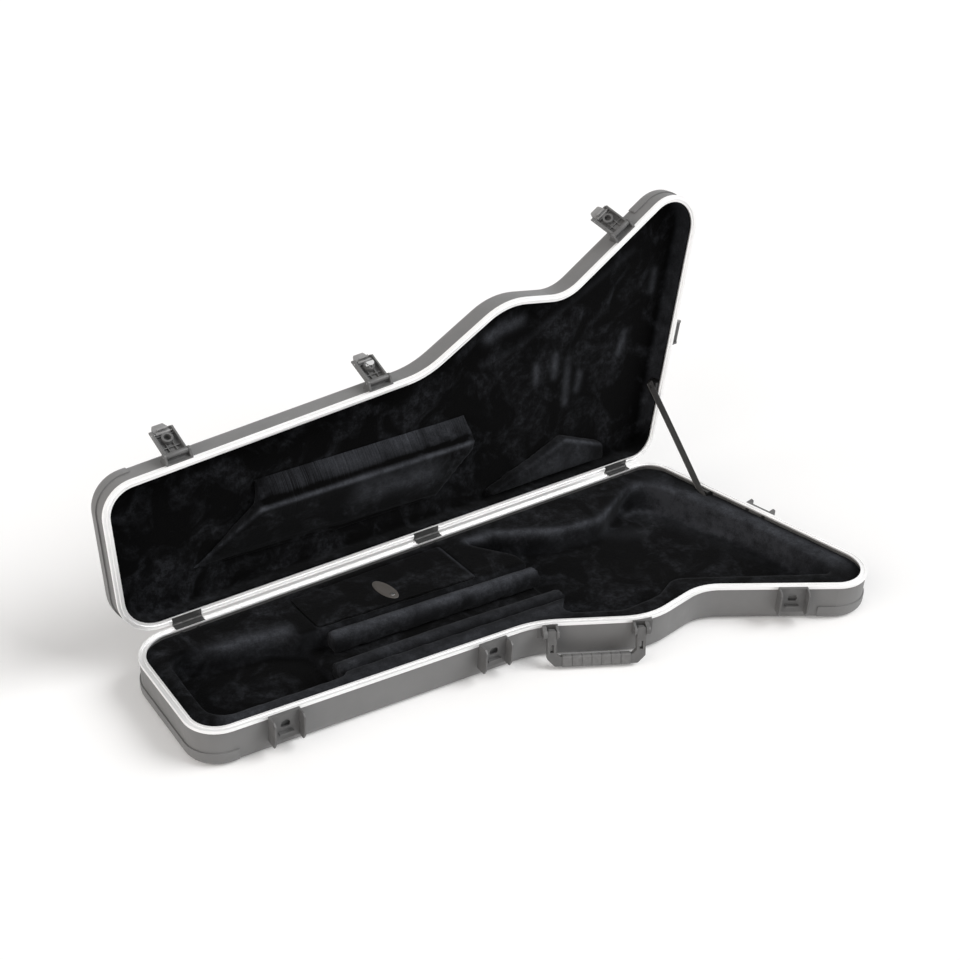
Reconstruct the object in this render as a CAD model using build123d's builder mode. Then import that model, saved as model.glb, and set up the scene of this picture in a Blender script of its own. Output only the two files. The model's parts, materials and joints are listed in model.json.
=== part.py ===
from build123d import *
import math
import os
from collections import namedtuple

os.makedirs("parts", exist_ok=True)

# Everything is drawn with the lid closed, in millimetres: x from the neck end of the
# rim, y = 0 and z = 0 on the hinge axis, the base below and the lid above. At the end
# each piece is moved to its resting place, with the lid and its latches open.

# Rim outline, along the inner edge of the rim
BACK_SET = 14.6        # hinge axis to the inner edge of the rim
NECK_END_WIDTH = 249.4
NECK_END_LEAN = 10.0   # the neck end is a little longer on the handle side
NECK_RUN = 592.0
NECK_TAPER = 43.0
FLARE_RUN = 172.0
FLARE_DROP = 93.0
WAIST_RUN = 136.0
WAIST_RISE = 21.5
TAIL_RUN = 316.0
TAIL_DROP = 194.5
TAIL_SLANT = 104.0

Corner = namedtuple("Corner", "x y radius")
FRONT = -BACK_SET - NECK_END_WIDTH
FLARE_X = NECK_RUN + FLARE_RUN
WAIST_X = FLARE_X + WAIST_RUN
TIP_X = WAIST_X + TAIL_RUN
NECK_Y = FRONT - NECK_TAPER
FLARE_Y = NECK_Y - FLARE_DROP
WAIST_Y = FLARE_Y + WAIST_RISE
TIP_Y = WAIST_Y - TAIL_DROP
CORNERS = [
    Corner(NECK_END_LEAN, -BACK_SET, 58.0),
    Corner(0.0, FRONT, 45.0),
    Corner(NECK_RUN, NECK_Y, 183.0),
    Corner(FLARE_X, FLARE_Y, 128.0),
    Corner(WAIST_X, WAIST_Y, 99.0),
    Corner(TIP_X, TIP_Y, 55.0),
    Corner(TIP_X - TAIL_SLANT, -BACK_SET, 43.0),
]
# Walls, by the corner that each starts from
NECK_FRONT, FLARE, WAIST_TO_TIP, TAIL_END, HINGE_SIDE = 1, 2, 4, 5, 6

# Shells and rims
BASE_DEPTH = 71.0
LID_DEPTH = 55.0
WALL = 3.0
EDGE_RADIUS = 15.0
RIM_GAP = 0.25         # each rim to the plane of the hinge axis
RIM_LAND = 12.0
LAND_THICKNESS = 3.0
RIM_FACE = 6.0
RIM_SKIRT = 1.5
WALL_OUTSIDE = RIM_LAND - RIM_SKIRT
WALL_INSIDE = WALL_OUTSIDE - WALL
TONGUE_IN = 4.5        # inner edge of the rim to the tongue
TONGUE_WIDTH = 2.5
TONGUE_HEIGHT = 1.5
GROOVE_CLEARANCE = 0.5
PAD_HEIGHT = 27.0      # stepped pads around the corners
PAD_PROUD = 2.5
NECK_PAD_REACH = 52.0
TIP_PAD_REACH = 138.0  # tip of the tail's straight walls to the end of the pad

# Resting place
OPEN_ANGLE = 94.3
HINGE_Y = 262.0
ORIGIN_X = 598.0       # neck end of the rim to the origin

# Hinges
HINGE_STATIONS = {"neck": 110.0, "middle": 584.0, "body": 1031.0}
HINGE_WIDTH = 52.0
KNUCKLE_RADIUS = 3.0
KNUCKLE_LENGTH = 20.0
HINGE_PIN_RADIUS = 1.25
HINGE_RUNNING = 0.05
LEAF = 1.5
LEAF_DROP = 26.0
LEAF_SUNK = 0.1        # leaf below the face of the rim
LEAF_SHORT = 1.5       # leaf to the inner edge of the rim
HINGE_SLACK = 0.4
HINGE_RIVET_SPREAD = 15.0
HINGE_RIVET_DEPTH = 16.0

OVER = 1.0             # how far a cut runs past the face that it starts from

# Rivets
RIVET_RADIUS = 1.6
RIVET_HEAD = 3.6
RIVET_RISE = 1.2
BLIND = 3.0            # how far a hidden rivet reaches into a fitting

# Latches
Station = namedtuple("Station", "wall along")
LATCH_STATIONS = {
    "neck": Station(NECK_FRONT, 127.0),
    "middle": Station(NECK_FRONT, 503.0),
    "body": Station(WAIST_TO_TIP, 164.0),
    "tail": Station(TAIL_END, 325.0),
}
LOCKED_LATCH = "middle"
FITTING_GAP = 0.6      # hinge plane to the latch fittings
BRACKET_WIDTH = 46.0
KEEPER_WIDER = 3.0     # side of the bracket to the side of the keeper
KEEPER_WIDTH = BRACKET_WIDTH + 2 * KEEPER_WIDER
KEEPER_HEIGHT = 49.0
KEEPER_FACE = 7.0
KEEPER_SKIN = 3.0
KEEPER_SIDE = 2.8
KEEPER_REACH = 25.0
KEEPER_RIVETS = (18.0, 11.0, 41.0)   # across, upper and lower
KEEPER_BOSS = 3.6
KEYHOLE_DEPTH = 21.0   # hinge plane to the middle of the D-shaped hole
KEYHOLE_RADIUS = 8.0
KEYHOLE_FLAT = 5.0     # middle of the hole to its flat side
STRIKE_DEPTH = 37.0    # hinge plane to the underside of the catch bar
STRIKE_REACH = 12.5
STRIKE_HEIGHT = 3.5
STRIKE_TAPER = 1.0
STRIKE_WIDTH = 24.0
STRIKE_LIP = 1.2
LIP_THICK = 1.6
BRACKET_HEIGHT = 24.0
BRACKET_PLATE = 4.5
BRACKET_RIVETS = (12.0, 17.0)        # across, up
EAR = 3.6
EAR_RADIUS = 5.4
PIVOT_OUT = 14.0
PIVOT_UP = 10.0
ARM_PIN_RADIUS = 2.0
ARM_BARREL = 4.6
PIN_RUNNING = 0.04
EAR_GAP = 0.4          # ear to the side of the arm
ARM_WIDTH = BRACKET_WIDTH - 2 * (EAR + EAR_GAP)
ARM_LENGTH = 56.0      # pivot to the ends of the side rails
ARM_TOP = 4.0
ARM_OUTSIDE = 7.5      # pivot to the outer face of the arm
ARM_SKIN = 3.0
RAIL = 3.0
RAIL_DEPTH = 11.0
RAIL_CHAMFER = 6.0
RIB = 1.6
RIB_DEPTH = 3.0
ARM_OPEN = 152.0
BOSS_DOWN = PIVOT_UP + KEYHOLE_DEPTH
BOSS_RADIUS = 9.5
BOSS_BORE = 6.0
BOSS_DEPTH = 9.0
ARM_SLOT = 41.2        # pivot to the slot that the trigger lies in
TRIGGER_DOWN = 46.0    # pivot to the trigger's pin
TRIGGER_PIN_OUT = 2.5
TRIGGER_PIN_RADIUS = 1.2
TRIGGER_BARREL = 3.0
SPRING_ROOM = 3.5      # side rail to the trigger, with the spring between them
TRIGGER_WIDTH = ARM_WIDTH - 2 * (RAIL + SPRING_ROOM)
TRIGGER_TOP = 43.0
TRIGGER_REACH = 65.0   # pivot to the tip of the trigger
TRIGGER_TAPER = 3.0
TRIGGER_EDGE = 0.5
TRIGGER_CORNER = 2.0
TRIGGER_SIDE_GAP = 0.4
HOOK_WIDTH = 18.0
HOOK_GAP = 0.4         # hook to the underside of the catch bar
HOOK_TIP = 2.5
HOOK_FACE_GAP = 0.8    # hook to the face of the keeper
HOOK_THICK = 2.4
SPRING_WIRE = 0.28
SPRING_COIL = 1.6
SPRING_PITCH = 0.9
SPRING_LENGTH = 2.2
LOCK_CLEARANCE = 0.05
LOCK_PROUD = 0.8
LOCK_NECK = 3.0
CAM_RADIUS = 7.2
CAM_FLAT = 2.2
CAM_THICK = 2.2
CAM_GAP = 0.6          # cam to the back of the keeper's face
KEYWAY = (1.2, 6.0, 3.0)             # width, height, depth

# Carrying handle
HANDLE_ALONG = 101.0
HANDLE_SPAN = 152.0    # middle of one arm to the middle of the other
HANDLE_ARM = 15.0
HANDLE_THICK = 11.0
HANDLE_DROP = 47.3     # pivot to the middle of the grip
GRIP_HEIGHT = 16.5
GRIP_LENGTH = 116.0
GRIP_SLEEVE = 1.6
GRIP_RIBS = 7
GRIP_GROOVE = 1.4
HANDLE_CORNER = 13.0
HANDLE_ROUNDS = (4.0, 2.0, 3.0)      # arms' ends, outer and inner corners of the bar
WINDOW = (6.0, 14.0, 24.0)           # width, height, below the pivot
HANDLE_PIVOT_OUT = 16.0
HANDLE_PIVOT_DEPTH = 12.0
HANDLE_REST = 16.0
HANDLE_PIN_RADIUS = 2.5
LUG = 7.0
INNER_LUG = 4.0
LUG_RADIUS = 8.0
LUG_GAP = 0.4
HANDLE_PLATE = 4.0
PLATE_TOP = 1.5
PLATE_BOTTOM = 27.0
PLATE_END = 7.0        # plate beyond the outer lug

# Lid stay strap
STRAP_Y = -145.0
STRAP_HOLD = 15.0      # hinge plane to the strap's rivets
STRAP_WIDTH = 18.0
STRAP_THICK = 1.6
STRAP_END = 9.0        # rivet to the end of the strap
STRAP_CLEAR = 1.5      # strap to the rim where they come closest
ANCHOR = 22.0
STRAP_RIVET = 8.0      # length in the anchor

# Padding
PAD_GAP = 1.5          # padding to the shell's wall
FLOOR_GAP = 0.4
FOAM_BOTTOM = BASE_DEPTH - WALL - FLOOR_GAP
FOAM_UNDER_WELL = 11.6
FOAM_UNDER_CHANNEL = 21.6
FOAM_UNDER_BODY = 9.6
FOAM_UNDER_BOX = 6.6
CLEAR = 0.4
LEDGE = 9.0            # hinge plane to the top of the base padding
LEDGE_WIDTH = 34.0
HEAD_WELL_START = 32.0
HEAD_WELL_END = 262.0
HEAD_WELL_DEPTH = FOAM_BOTTOM - FOAM_UNDER_WELL
CHANNEL_START = 250.0
CHANNEL_END = 703.0
CHANNEL_DEPTH = FOAM_BOTTOM - FOAM_UNDER_CHANNEL
CHANNEL_NEAR = 44.0    # neck wall to the front of the trough
CHANNEL_FAR = 159.0
CUSHION_WIDTH = 37.0
CUSHION_END = 692.0
FRONT_CUSHION_START = 253.0
REAR_CUSHION_START = 283.0
CUSHION_CROWN = 14.0
CUSHION_TOP = 7.5
CUSHION_FLUSH = 1.0    # ledge to the front edge of the front cushion
CUSHION_END_ROUND = 14.0
CUSHION_CORNER = 1.0
BODY_DEPTH = FOAM_BOTTOM - FOAM_UNDER_BODY
TAIL_LEDGE = 34.0      # rim to the body's recess, along the tail's end wall
BOX_START = 285.0
BOX_END = 593.0
BOX_BACK = -27.0
BOX_FRONT = 165.0      # neck wall to the compartment's opening
BOX_DEPTH = FOAM_BOTTOM - FOAM_UNDER_BOX
BOX_STEP = 4.0
BOX_LID = 3.5
BOX_LID_GAP = 0.8
TAB_X = 437.0
TAB_Y = -91.0
TAB_LENGTH = 62.0
TAB_WIDTH = 28.0
TAB_THICK = 1.6
TAB_LEAN = 8.0
TAB_RIVET_IN = 12.0
LID_PAD_EDGE = 3.6     # hinge plane to the edge of the lid's lining
LID_PAD_IN = 0.5       # lining inside the edge of the rim
LID_PAD_TOP = 12.0
LID_PAD_ROUND = 8.0
NECK_PAD_CREST = 7.0
NECK_PAD_CREST_Y = -153.0
BODY_PAD_TOP = 10.0
BODY_PAD_CORNER = 4.0


def wall_frame(wall, along):
    """Frame on the outer wall: x along it, y into the case, z up, origin in the hinge plane."""
    start, end = CORNERS[wall], CORNERS[(wall + 1) % len(CORNERS)]
    run = Vector(end.x - start.x, end.y - start.y).normalized()
    outward = Vector(run.Y, -run.X)
    place = Vector(start.x, start.y) + run * along + outward * WALL_OUTSIDE
    return Location(Plane(origin=place, x_dir=run, z_dir=(0, 0, 1)))


def hinge_frame(station):
    return wall_frame(HINGE_SIDE, CORNERS[HINGE_SIDE].x - station)


def neck_y(x, inward):
    """The y that lies inward of the neck's front wall by the given distance."""
    return FRONT - NECK_TAPER * x / NECK_RUN + inward


def tail_x(y):
    """The x of the rim's inner edge on the tail's end wall."""
    return TIP_X - TAIL_SLANT * (y - TIP_Y) / (-BACK_SET - TIP_Y)


def rim_face(grow):
    """The area inside the rim's inner edge, grown outward."""
    with BuildSketch() as area:
        with BuildLine():
            FilletPolyline(
                *[(corner.x, corner.y) for corner in CORNERS],
                radius=[corner.radius for corner in CORNERS],
                close=True,
            )
        make_face()
        if grow:
            offset(amount=grow, kind=Kind.ARC)
    return area.sketch


def outline_block(grow, bottom, top, round_top=0.0):
    """A block with the rim's outline, its upper edge rounded."""
    with BuildPart() as block:
        with BuildSketch(Plane.XY.offset(bottom)):
            add(rim_face(grow))
        extrude(amount=top - bottom)
        if round_top:
            fillet(block.faces().sort_by(Axis.Z)[-1].edges(), radius=round_top)
    return block.part


def plan_block(points, radii, bottom, top):
    """A block with the given plan, its upright edges rounded."""
    with BuildPart() as block:
        with BuildSketch(Plane.XY.offset(bottom)):
            with BuildLine():
                FilletPolyline(*points, radius=radii, close=True)
            make_face()
        extrude(amount=top - bottom)
    return block.part


def box(x, y, z):
    """A block between the given pairs of x, y and z."""
    with BuildPart() as block:
        with Locations(((x[0] + x[1]) / 2, (y[0] + y[1]) / 2, (z[0] + z[1]) / 2)):
            Box(abs(x[1] - x[0]), abs(y[1] - y[0]), abs(z[1] - z[0]))
    return block.part


def side_profile(points, half_width, middle=0.0):
    """A piece whose side view is the given (y, z) outline, centred on x = middle."""
    with BuildPart() as piece:
        with BuildSketch(Plane.YZ.offset(middle)):
            with BuildLine():
                Polyline(*points, close=True)
            make_face()
        extrude(amount=half_width, both=True)
    return piece.part


def cross_pin(radius, length, y=0.0, z=0.0, middle=0.0):
    """A round bar along x."""
    with BuildPart() as bar:
        with Locations(Location((middle, y, z), (0, 90, 0))):
            Cylinder(radius, length)
    return bar.part


def through_pin(radius, outside, inside, x=0.0, z=0.0):
    """A round bar along y, between two distances outside the wall."""
    with BuildPart() as bar:
        with Locations(Location((x, -(outside + inside) / 2, z), (90, 0, 0))):
            Cylinder(radius, abs(outside - inside))
    return bar.part


def rivet(x, z, outside, headed):
    """A rivet along y, clinched on the inside of the wall."""
    tip = [(0, -outside), (RIVET_RADIUS, -outside)]
    if headed:
        tip = [
            (0, -outside - RIVET_RISE),
            (RIVET_HEAD / 2, -outside - RIVET_RISE),
            (RIVET_HEAD, -outside),
            (RIVET_RADIUS, -outside),
        ]
    clinch = [
        (RIVET_RADIUS, WALL),
        (RIVET_HEAD, WALL),
        (RIVET_HEAD, WALL + RIVET_RISE),
        (0, WALL + RIVET_RISE),
    ]
    with BuildPart() as pin:
        with BuildSketch(Plane.XY):
            with BuildLine():
                Polyline(*tip, *clinch, close=True)
            make_face()
        revolve(axis=Axis.Y)
    return pin.part.moved(Location((x, 0, z)))


def upside_down(piece):
    """The same piece on the base, where depth runs downward."""
    return mirror(piece, about=Plane.XY)


def corner_pads(depth):
    """Stepped pads around the neck end and the tip of the tail."""
    tip, before, after = CORNERS[TAIL_END], CORNERS[WAIST_TO_TIP], CORNERS[HINGE_SIDE]
    toward_waist = Vector(before.x - tip.x, before.y - tip.y).normalized()
    toward_hinge = Vector(after.x - tip.x, after.y - tip.y).normalized()
    inward = (toward_waist + toward_hinge).normalized()
    tip_frame = Location(Plane(origin=(tip.x, tip.y, 0), x_dir=inward, z_dir=(0, 0, 1)))
    reach = (0, depth * 2)
    span = (-NECK_RUN, NECK_RUN)
    with BuildPart() as pads:
        add(box((-NECK_PAD_REACH, NECK_PAD_REACH), span, reach))
        add(box((-TIP_PAD_REACH, TIP_PAD_REACH), span, reach).moved(tip_frame))
        block = outline_block(WALL_OUTSIDE + PAD_PROUD, depth - PAD_HEIGHT, depth, EDGE_RADIUS)
        add(block, mode=Mode.INTERSECT)
    return pads.part


def shell(depth, rivets):
    """One half of the case, drawn as the lid."""
    with BuildPart() as half:
        add(outline_block(WALL_OUTSIDE, RIM_GAP + LAND_THICKNESS, depth, EDGE_RADIUS))
        add(corner_pads(depth))
        add(outline_block(WALL_INSIDE, 0, depth - WALL, EDGE_RADIUS - WALL), mode=Mode.SUBTRACT)
        for place, x, z, outside, headed in rivets:
            hole = through_pin(RIVET_RADIUS, WALL, -2 * WALL, x, z)
            add(hole.moved(place), mode=Mode.SUBTRACT)
    return half.part


def rim(tongue):
    """One rim, drawn as the lid's, with a tongue or a groove and seats for the hinge leaves."""
    start, end = TONGUE_IN, TONGUE_IN + TONGUE_WIDTH
    land_top = RIM_GAP + LAND_THICKNESS
    with BuildPart() as band:
        add(outline_block(RIM_LAND, RIM_GAP, RIM_FACE))
        add(outline_block(WALL_OUTSIDE, land_top, RIM_FACE + OVER), mode=Mode.SUBTRACT)
        add(outline_block(0, 0, land_top + OVER), mode=Mode.SUBTRACT)
        if tongue:
            tip = RIM_GAP - TONGUE_HEIGHT
            add(outline_block(end, tip, RIM_GAP))
            add(outline_block(start, tip - OVER, RIM_GAP), mode=Mode.SUBTRACT)
        else:
            depth = TONGUE_HEIGHT + GROOVE_CLEARANCE
            ring = outline_block(end + GROOVE_CLEARANCE, 0, depth)
            ring = ring - outline_block(start - GROOVE_CLEARANCE, 0, depth)
            add(ring, mode=Mode.SUBTRACT)
        for station in HINGE_STATIONS.values():
            add(hinge_seat().moved(hinge_frame(station)), mode=Mode.SUBTRACT)
    return band.part


AXIS_OUT = BACK_SET - WALL_OUTSIDE
LEAF_FACE = RIM_GAP + LEAF_SUNK


def hinge_seat():
    """The room that a hinge takes in the rim and in front of the wall."""
    half = HINGE_WIDTH / 2 + HINGE_SLACK
    inner = WALL_OUTSIDE - LEAF_SHORT + HINGE_SLACK
    with BuildPart() as room:
        add(box((-half, half), (-AXIS_OUT, inner), (-TONGUE_HEIGHT - OVER, LEAF_FACE + LEAF)))
        add(box((-half, half), (-AXIS_OUT, 0), (-OVER, LEAF_DROP + OVER)))
        add(cross_pin(KNUCKLE_RADIUS + HINGE_SLACK, 2 * half, -AXIS_OUT))
    return room.part


def knuckle(start, end):
    """One knuckle with the web that joins it to its leaf."""
    with BuildPart() as piece:
        add(cross_pin(KNUCKLE_RADIUS, end - start, -AXIS_OUT, 0, (start + end) / 2))
        add(box((start, end), (-AXIS_OUT, 0), (LEAF_FACE, KNUCKLE_RADIUS)))
    return piece.part


def hinge_leaf(own, other, bore):
    """A leaf over the rim and down the wall; own and other are knuckles, as pairs of x."""
    half = HINGE_WIDTH / 2
    with BuildPart() as leaf:
        plate_end = WALL_OUTSIDE - LEAF_SHORT
        add(box((-half, half), (-LEAF, plate_end), (LEAF_FACE, LEAF_FACE + LEAF)))
        add(box((-half, half), (-LEAF, 0), (LEAF_FACE, LEAF_DROP)))
        for start, end in other:
            room = cross_pin(
                KNUCKLE_RADIUS + HINGE_SLACK,
                end - start + 2 * HINGE_RUNNING,
                -AXIS_OUT,
                0,
                (start + end) / 2,
            )
            add(room, mode=Mode.SUBTRACT)
        for start, end in own:
            add(knuckle(start, end))
        add(cross_pin(bore, HINGE_WIDTH + OVER, -AXIS_OUT), mode=Mode.SUBTRACT)
        for side in (-HINGE_RIVET_SPREAD, HINGE_RIVET_SPREAD):
            hole = through_pin(RIVET_RADIUS, 2 * LEAF, -LEAF, side, HINGE_RIVET_DEPTH)
            add(hole, mode=Mode.SUBTRACT)
    return leaf.part


MIDDLE_KNUCKLE = [(-KNUCKLE_LENGTH / 2, KNUCKLE_LENGTH / 2)]
KNUCKLE_SPLIT = KNUCKLE_LENGTH / 2 + 2 * HINGE_RUNNING
OUTER_KNUCKLES = [(-HINGE_WIDTH / 2, -KNUCKLE_SPLIT), (KNUCKLE_SPLIT, HINGE_WIDTH / 2)]


# Latch fittings are drawn on the wall: y = -out, z up, the pivot above the hinge plane
def latch_bracket():
    half = BRACKET_WIDTH / 2
    top = FITTING_GAP + BRACKET_HEIGHT
    with BuildPart() as bracket:
        plate = [
            (-RIM_SKIRT, FITTING_GAP),
            (-RIM_SKIRT, RIM_FACE),
            (0, RIM_FACE),
            (0, top),
            (-BRACKET_PLATE, top),
            (-BRACKET_PLATE, FITTING_GAP),
        ]
        add(side_profile(plate, half))
        upper = bracket.edges().filter_by(Axis.X).sort_by(Axis.Z)[-2:]
        fillet(upper.sort_by(Axis.Y)[0], BRACKET_PLATE / 3)
        for side in (-1, 1):
            with BuildSketch(Plane.YZ.offset(side * (half - EAR / 2))):
                with BuildLine():
                    Polyline(
                        (-RIM_SKIRT, FITTING_GAP),
                        (-RIM_SKIRT, RIM_FACE),
                        (-BRACKET_PLATE / 2, top - OVER),
                        (-PIVOT_OUT, PIVOT_UP + EAR_RADIUS),
                        (-PIVOT_OUT, PIVOT_UP - EAR_RADIUS),
                        close=True,
                    )
                make_face()
                with Locations((-PIVOT_OUT, PIVOT_UP)):
                    Circle(EAR_RADIUS)
            extrude(amount=EAR / 2, both=True)
        pin_hole = cross_pin(ARM_PIN_RADIUS, BRACKET_WIDTH + OVER, -PIVOT_OUT, PIVOT_UP)
        add(pin_hole, mode=Mode.SUBTRACT)
        across, up = BRACKET_RIVETS
        for side in (-across, across):
            add(through_pin(RIVET_RADIUS, BLIND, -OVER, side, up), mode=Mode.SUBTRACT)
    return bracket.part


def latch_arm(locked):
    """Drawn hanging down, from its pivot."""
    half = ARM_WIDTH / 2
    inside = ARM_OUTSIDE - RAIL_DEPTH
    skin = (-ARM_OUTSIDE, ARM_SKIN - ARM_OUTSIDE)
    rail = [
        (-ARM_OUTSIDE, ARM_TOP),
        (-ARM_OUTSIDE, -ARM_LENGTH),
        (-ARM_OUTSIDE + ARM_SKIN, -ARM_LENGTH),
        (-inside, -ARM_LENGTH + RAIL_CHAMFER),
        (-inside, ARM_TOP),
    ]
    with BuildPart() as arm:
        add(cross_pin(ARM_BARREL, ARM_WIDTH))
        for side in (-1, 1):
            add(side_profile(rail, RAIL / 2, side * (half - RAIL / 2)))
        add(box((-half, half), skin, (-ARM_LENGTH, ARM_TOP)))
        half_slot = TRIGGER_WIDTH / 2 + TRIGGER_SIDE_GAP
        down = (-ARM_LENGTH - OVER, -ARM_SLOT)
        add(box((-half_slot, half_slot), (-2 * ARM_OUTSIDE, 0), down), mode=Mode.SUBTRACT)
        rib_depth = (skin[1], skin[1] + RIB_DEPTH)
        for down in (BOSS_DOWN / 2, ARM_SLOT - RIB / 2):
            add(box((-half + RAIL, half - RAIL), rib_depth, (-down - RIB / 2, -down + RIB / 2)))
        for side in (-1, 1):
            middle = side * half / 3
            add(box((middle - RIB / 2, middle + RIB / 2), rib_depth, (-BOSS_DOWN, 0)))
        add(through_pin(BOSS_RADIUS, -skin[1], -skin[1] - BOSS_DEPTH, 0, -BOSS_DOWN))
        bore_start = ARM_OUTSIDE + OVER if locked else -skin[1]
        bore = through_pin(BOSS_BORE, bore_start, -skin[1] - BOSS_DEPTH - OVER, 0, -BOSS_DOWN)
        add(bore, mode=Mode.SUBTRACT)
        width = ARM_WIDTH + OVER
        add(cross_pin(ARM_PIN_RADIUS + PIN_RUNNING, width), mode=Mode.SUBTRACT)
        trigger_hole = cross_pin(TRIGGER_PIN_RADIUS, width, -TRIGGER_PIN_OUT, -TRIGGER_DOWN)
        add(trigger_hole, mode=Mode.SUBTRACT)
    return arm.part


def latch_trigger():
    """Drawn in the frame of the hanging arm, its hook behind the lip of the catch bar."""
    half = TRIGGER_WIDTH / 2
    skin = (-ARM_OUTSIDE, ARM_SKIN - ARM_OUTSIDE)
    hook_in = PIVOT_OUT - KEEPER_FACE - HOOK_FACE_GAP
    hook_top = -PIVOT_UP - STRIKE_DEPTH - HOOK_GAP
    shelf = hook_top - STRIKE_LIP
    hook = [
        (-ARM_OUTSIDE + ARM_SKIN, -TRIGGER_DOWN),
        (-ARM_OUTSIDE + ARM_SKIN, shelf - HOOK_THICK),
        (hook_in, shelf - HOOK_THICK),
        (hook_in, hook_top),
        (hook_in - HOOK_TIP, hook_top),
        (hook_in - HOOK_TIP, shelf),
        (0, shelf),
        (-TRIGGER_PIN_OUT, -TRIGGER_DOWN),
    ]
    with BuildPart() as trigger:
        with BuildSketch(Plane.XZ.offset(-skin[1])):
            with BuildLine():
                FilletPolyline(
                    (-half, -TRIGGER_TOP),
                    (half, -TRIGGER_TOP),
                    (half, -ARM_LENGTH - TRIGGER_TAPER),
                    (half - TRIGGER_TAPER, -TRIGGER_REACH),
                    (-half + TRIGGER_TAPER, -TRIGGER_REACH),
                    (-half, -ARM_LENGTH - TRIGGER_TAPER),
                    radius=[TRIGGER_EDGE] * 2 + [TRIGGER_CORNER] * 4,
                    close=True,
                )
            make_face()
        extrude(amount=ARM_SKIN)
        add(cross_pin(TRIGGER_BARREL, TRIGGER_WIDTH, -TRIGGER_PIN_OUT, -TRIGGER_DOWN))
        add(side_profile(hook, HOOK_WIDTH / 2))
        bore = TRIGGER_PIN_RADIUS + PIN_RUNNING
        hole = cross_pin(bore, TRIGGER_WIDTH + OVER, -TRIGGER_PIN_OUT, -TRIGGER_DOWN)
        add(hole, mode=Mode.SUBTRACT)
    return trigger.part


def trigger_spring():
    """A small coil on the trigger's pin, beside the trigger."""
    start = TRIGGER_WIDTH / 2 + TRIGGER_SIDE_GAP
    with BuildPart() as spring:
        with BuildLine():
            coil = Helix(pitch=SPRING_PITCH, height=SPRING_LENGTH, radius=SPRING_COIL)
        with BuildSketch(Plane(origin=coil @ 0, z_dir=coil % 0)):
            Circle(SPRING_WIRE)
        sweep(is_frenet=True)
    place = Location((start + SPRING_WIRE, -TRIGGER_PIN_OUT, -TRIGGER_DOWN), (0, 90, 0))
    return spring.part.moved(place)


def keeper():
    half = KEEPER_WIDTH / 2
    bottom = -FITTING_GAP - KEEPER_HEIGHT
    side_inside = half - KEEPER_SIDE
    pocket = (bottom + KEEPER_SIDE, -FITTING_GAP - KEEPER_SIDE)
    bevel = KEEPER_REACH / 5
    cheek = [
        (0, -FITTING_GAP),
        (-KEEPER_REACH + bevel, -FITTING_GAP),
        (-KEEPER_REACH, -FITTING_GAP - bevel),
        (-KEEPER_REACH, bottom + 2 * bevel),
        (-KEEPER_REACH + bevel, bottom),
        (0, bottom),
    ]
    root = -KEEPER_FACE + OVER
    lip_start = -STRIKE_REACH + LIP_THICK
    strike = [
        (root, -STRIKE_DEPTH),
        (root, -STRIKE_DEPTH + STRIKE_HEIGHT),
        (-STRIKE_REACH, -STRIKE_DEPTH + STRIKE_HEIGHT - STRIKE_TAPER),
        (-STRIKE_REACH, -STRIKE_DEPTH - STRIKE_LIP),
        (lip_start, -STRIKE_DEPTH - STRIKE_LIP),
        (lip_start, -STRIKE_DEPTH),
    ]
    across, upper, lower = KEEPER_RIVETS
    with BuildPart() as plate:
        add(box((-half, half), (-KEEPER_FACE, 0), (bottom, -FITTING_GAP)))
        hollow = (-KEEPER_FACE + KEEPER_SKIN, OVER)
        add(box((-side_inside, side_inside), hollow, pocket), mode=Mode.SUBTRACT)
        for side in (-1, 1):
            add(side_profile(cheek, KEEPER_SIDE / 2, side * (half - KEEPER_SIDE / 2)))
            for down in (upper, lower):
                add(through_pin(KEEPER_BOSS, -root, 0, side * across, -down))
                hole = through_pin(RIVET_RADIUS, BLIND, -OVER, side * across, -down)
                add(hole, mode=Mode.SUBTRACT)
        with BuildSketch(Plane.XZ):
            with Locations((0, -KEYHOLE_DEPTH)):
                Circle(KEYHOLE_RADIUS)
            flat_top = -KEYHOLE_DEPTH - KEYHOLE_FLAT
            with Locations((0, flat_top - KEYHOLE_RADIUS)):
                Rectangle(4 * KEYHOLE_RADIUS, 2 * KEYHOLE_RADIUS, mode=Mode.SUBTRACT)
        extrude(amount=KEEPER_FACE + OVER, mode=Mode.SUBTRACT)
        add(side_profile(strike, STRIKE_WIDTH / 2))
        add(box((-half, half), (-RIM_SKIRT, OVER), (-RIM_FACE, 0)), mode=Mode.SUBTRACT)
    return plate.part


def lock_cylinder():
    radius = BOSS_BORE - LOCK_CLEARANCE
    inner = ARM_OUTSIDE - ARM_SKIN - BOSS_DEPTH
    cam_front = KEEPER_FACE - KEEPER_SKIN - CAM_GAP - PIVOT_OUT
    width, height, depth = KEYWAY
    face = -ARM_OUTSIDE - LOCK_PROUD
    with BuildPart() as lock:
        add(through_pin(radius, ARM_OUTSIDE + LOCK_PROUD, inner, 0, -BOSS_DOWN))
        add(through_pin(LOCK_NECK, inner, cam_front, 0, -BOSS_DOWN))
        keyway = box(
            (-width / 2, width / 2),
            (face - OVER, face + depth),
            (-BOSS_DOWN - height / 2, -BOSS_DOWN + height / 2),
        )
        add(keyway, mode=Mode.SUBTRACT)
    return lock.part


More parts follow.
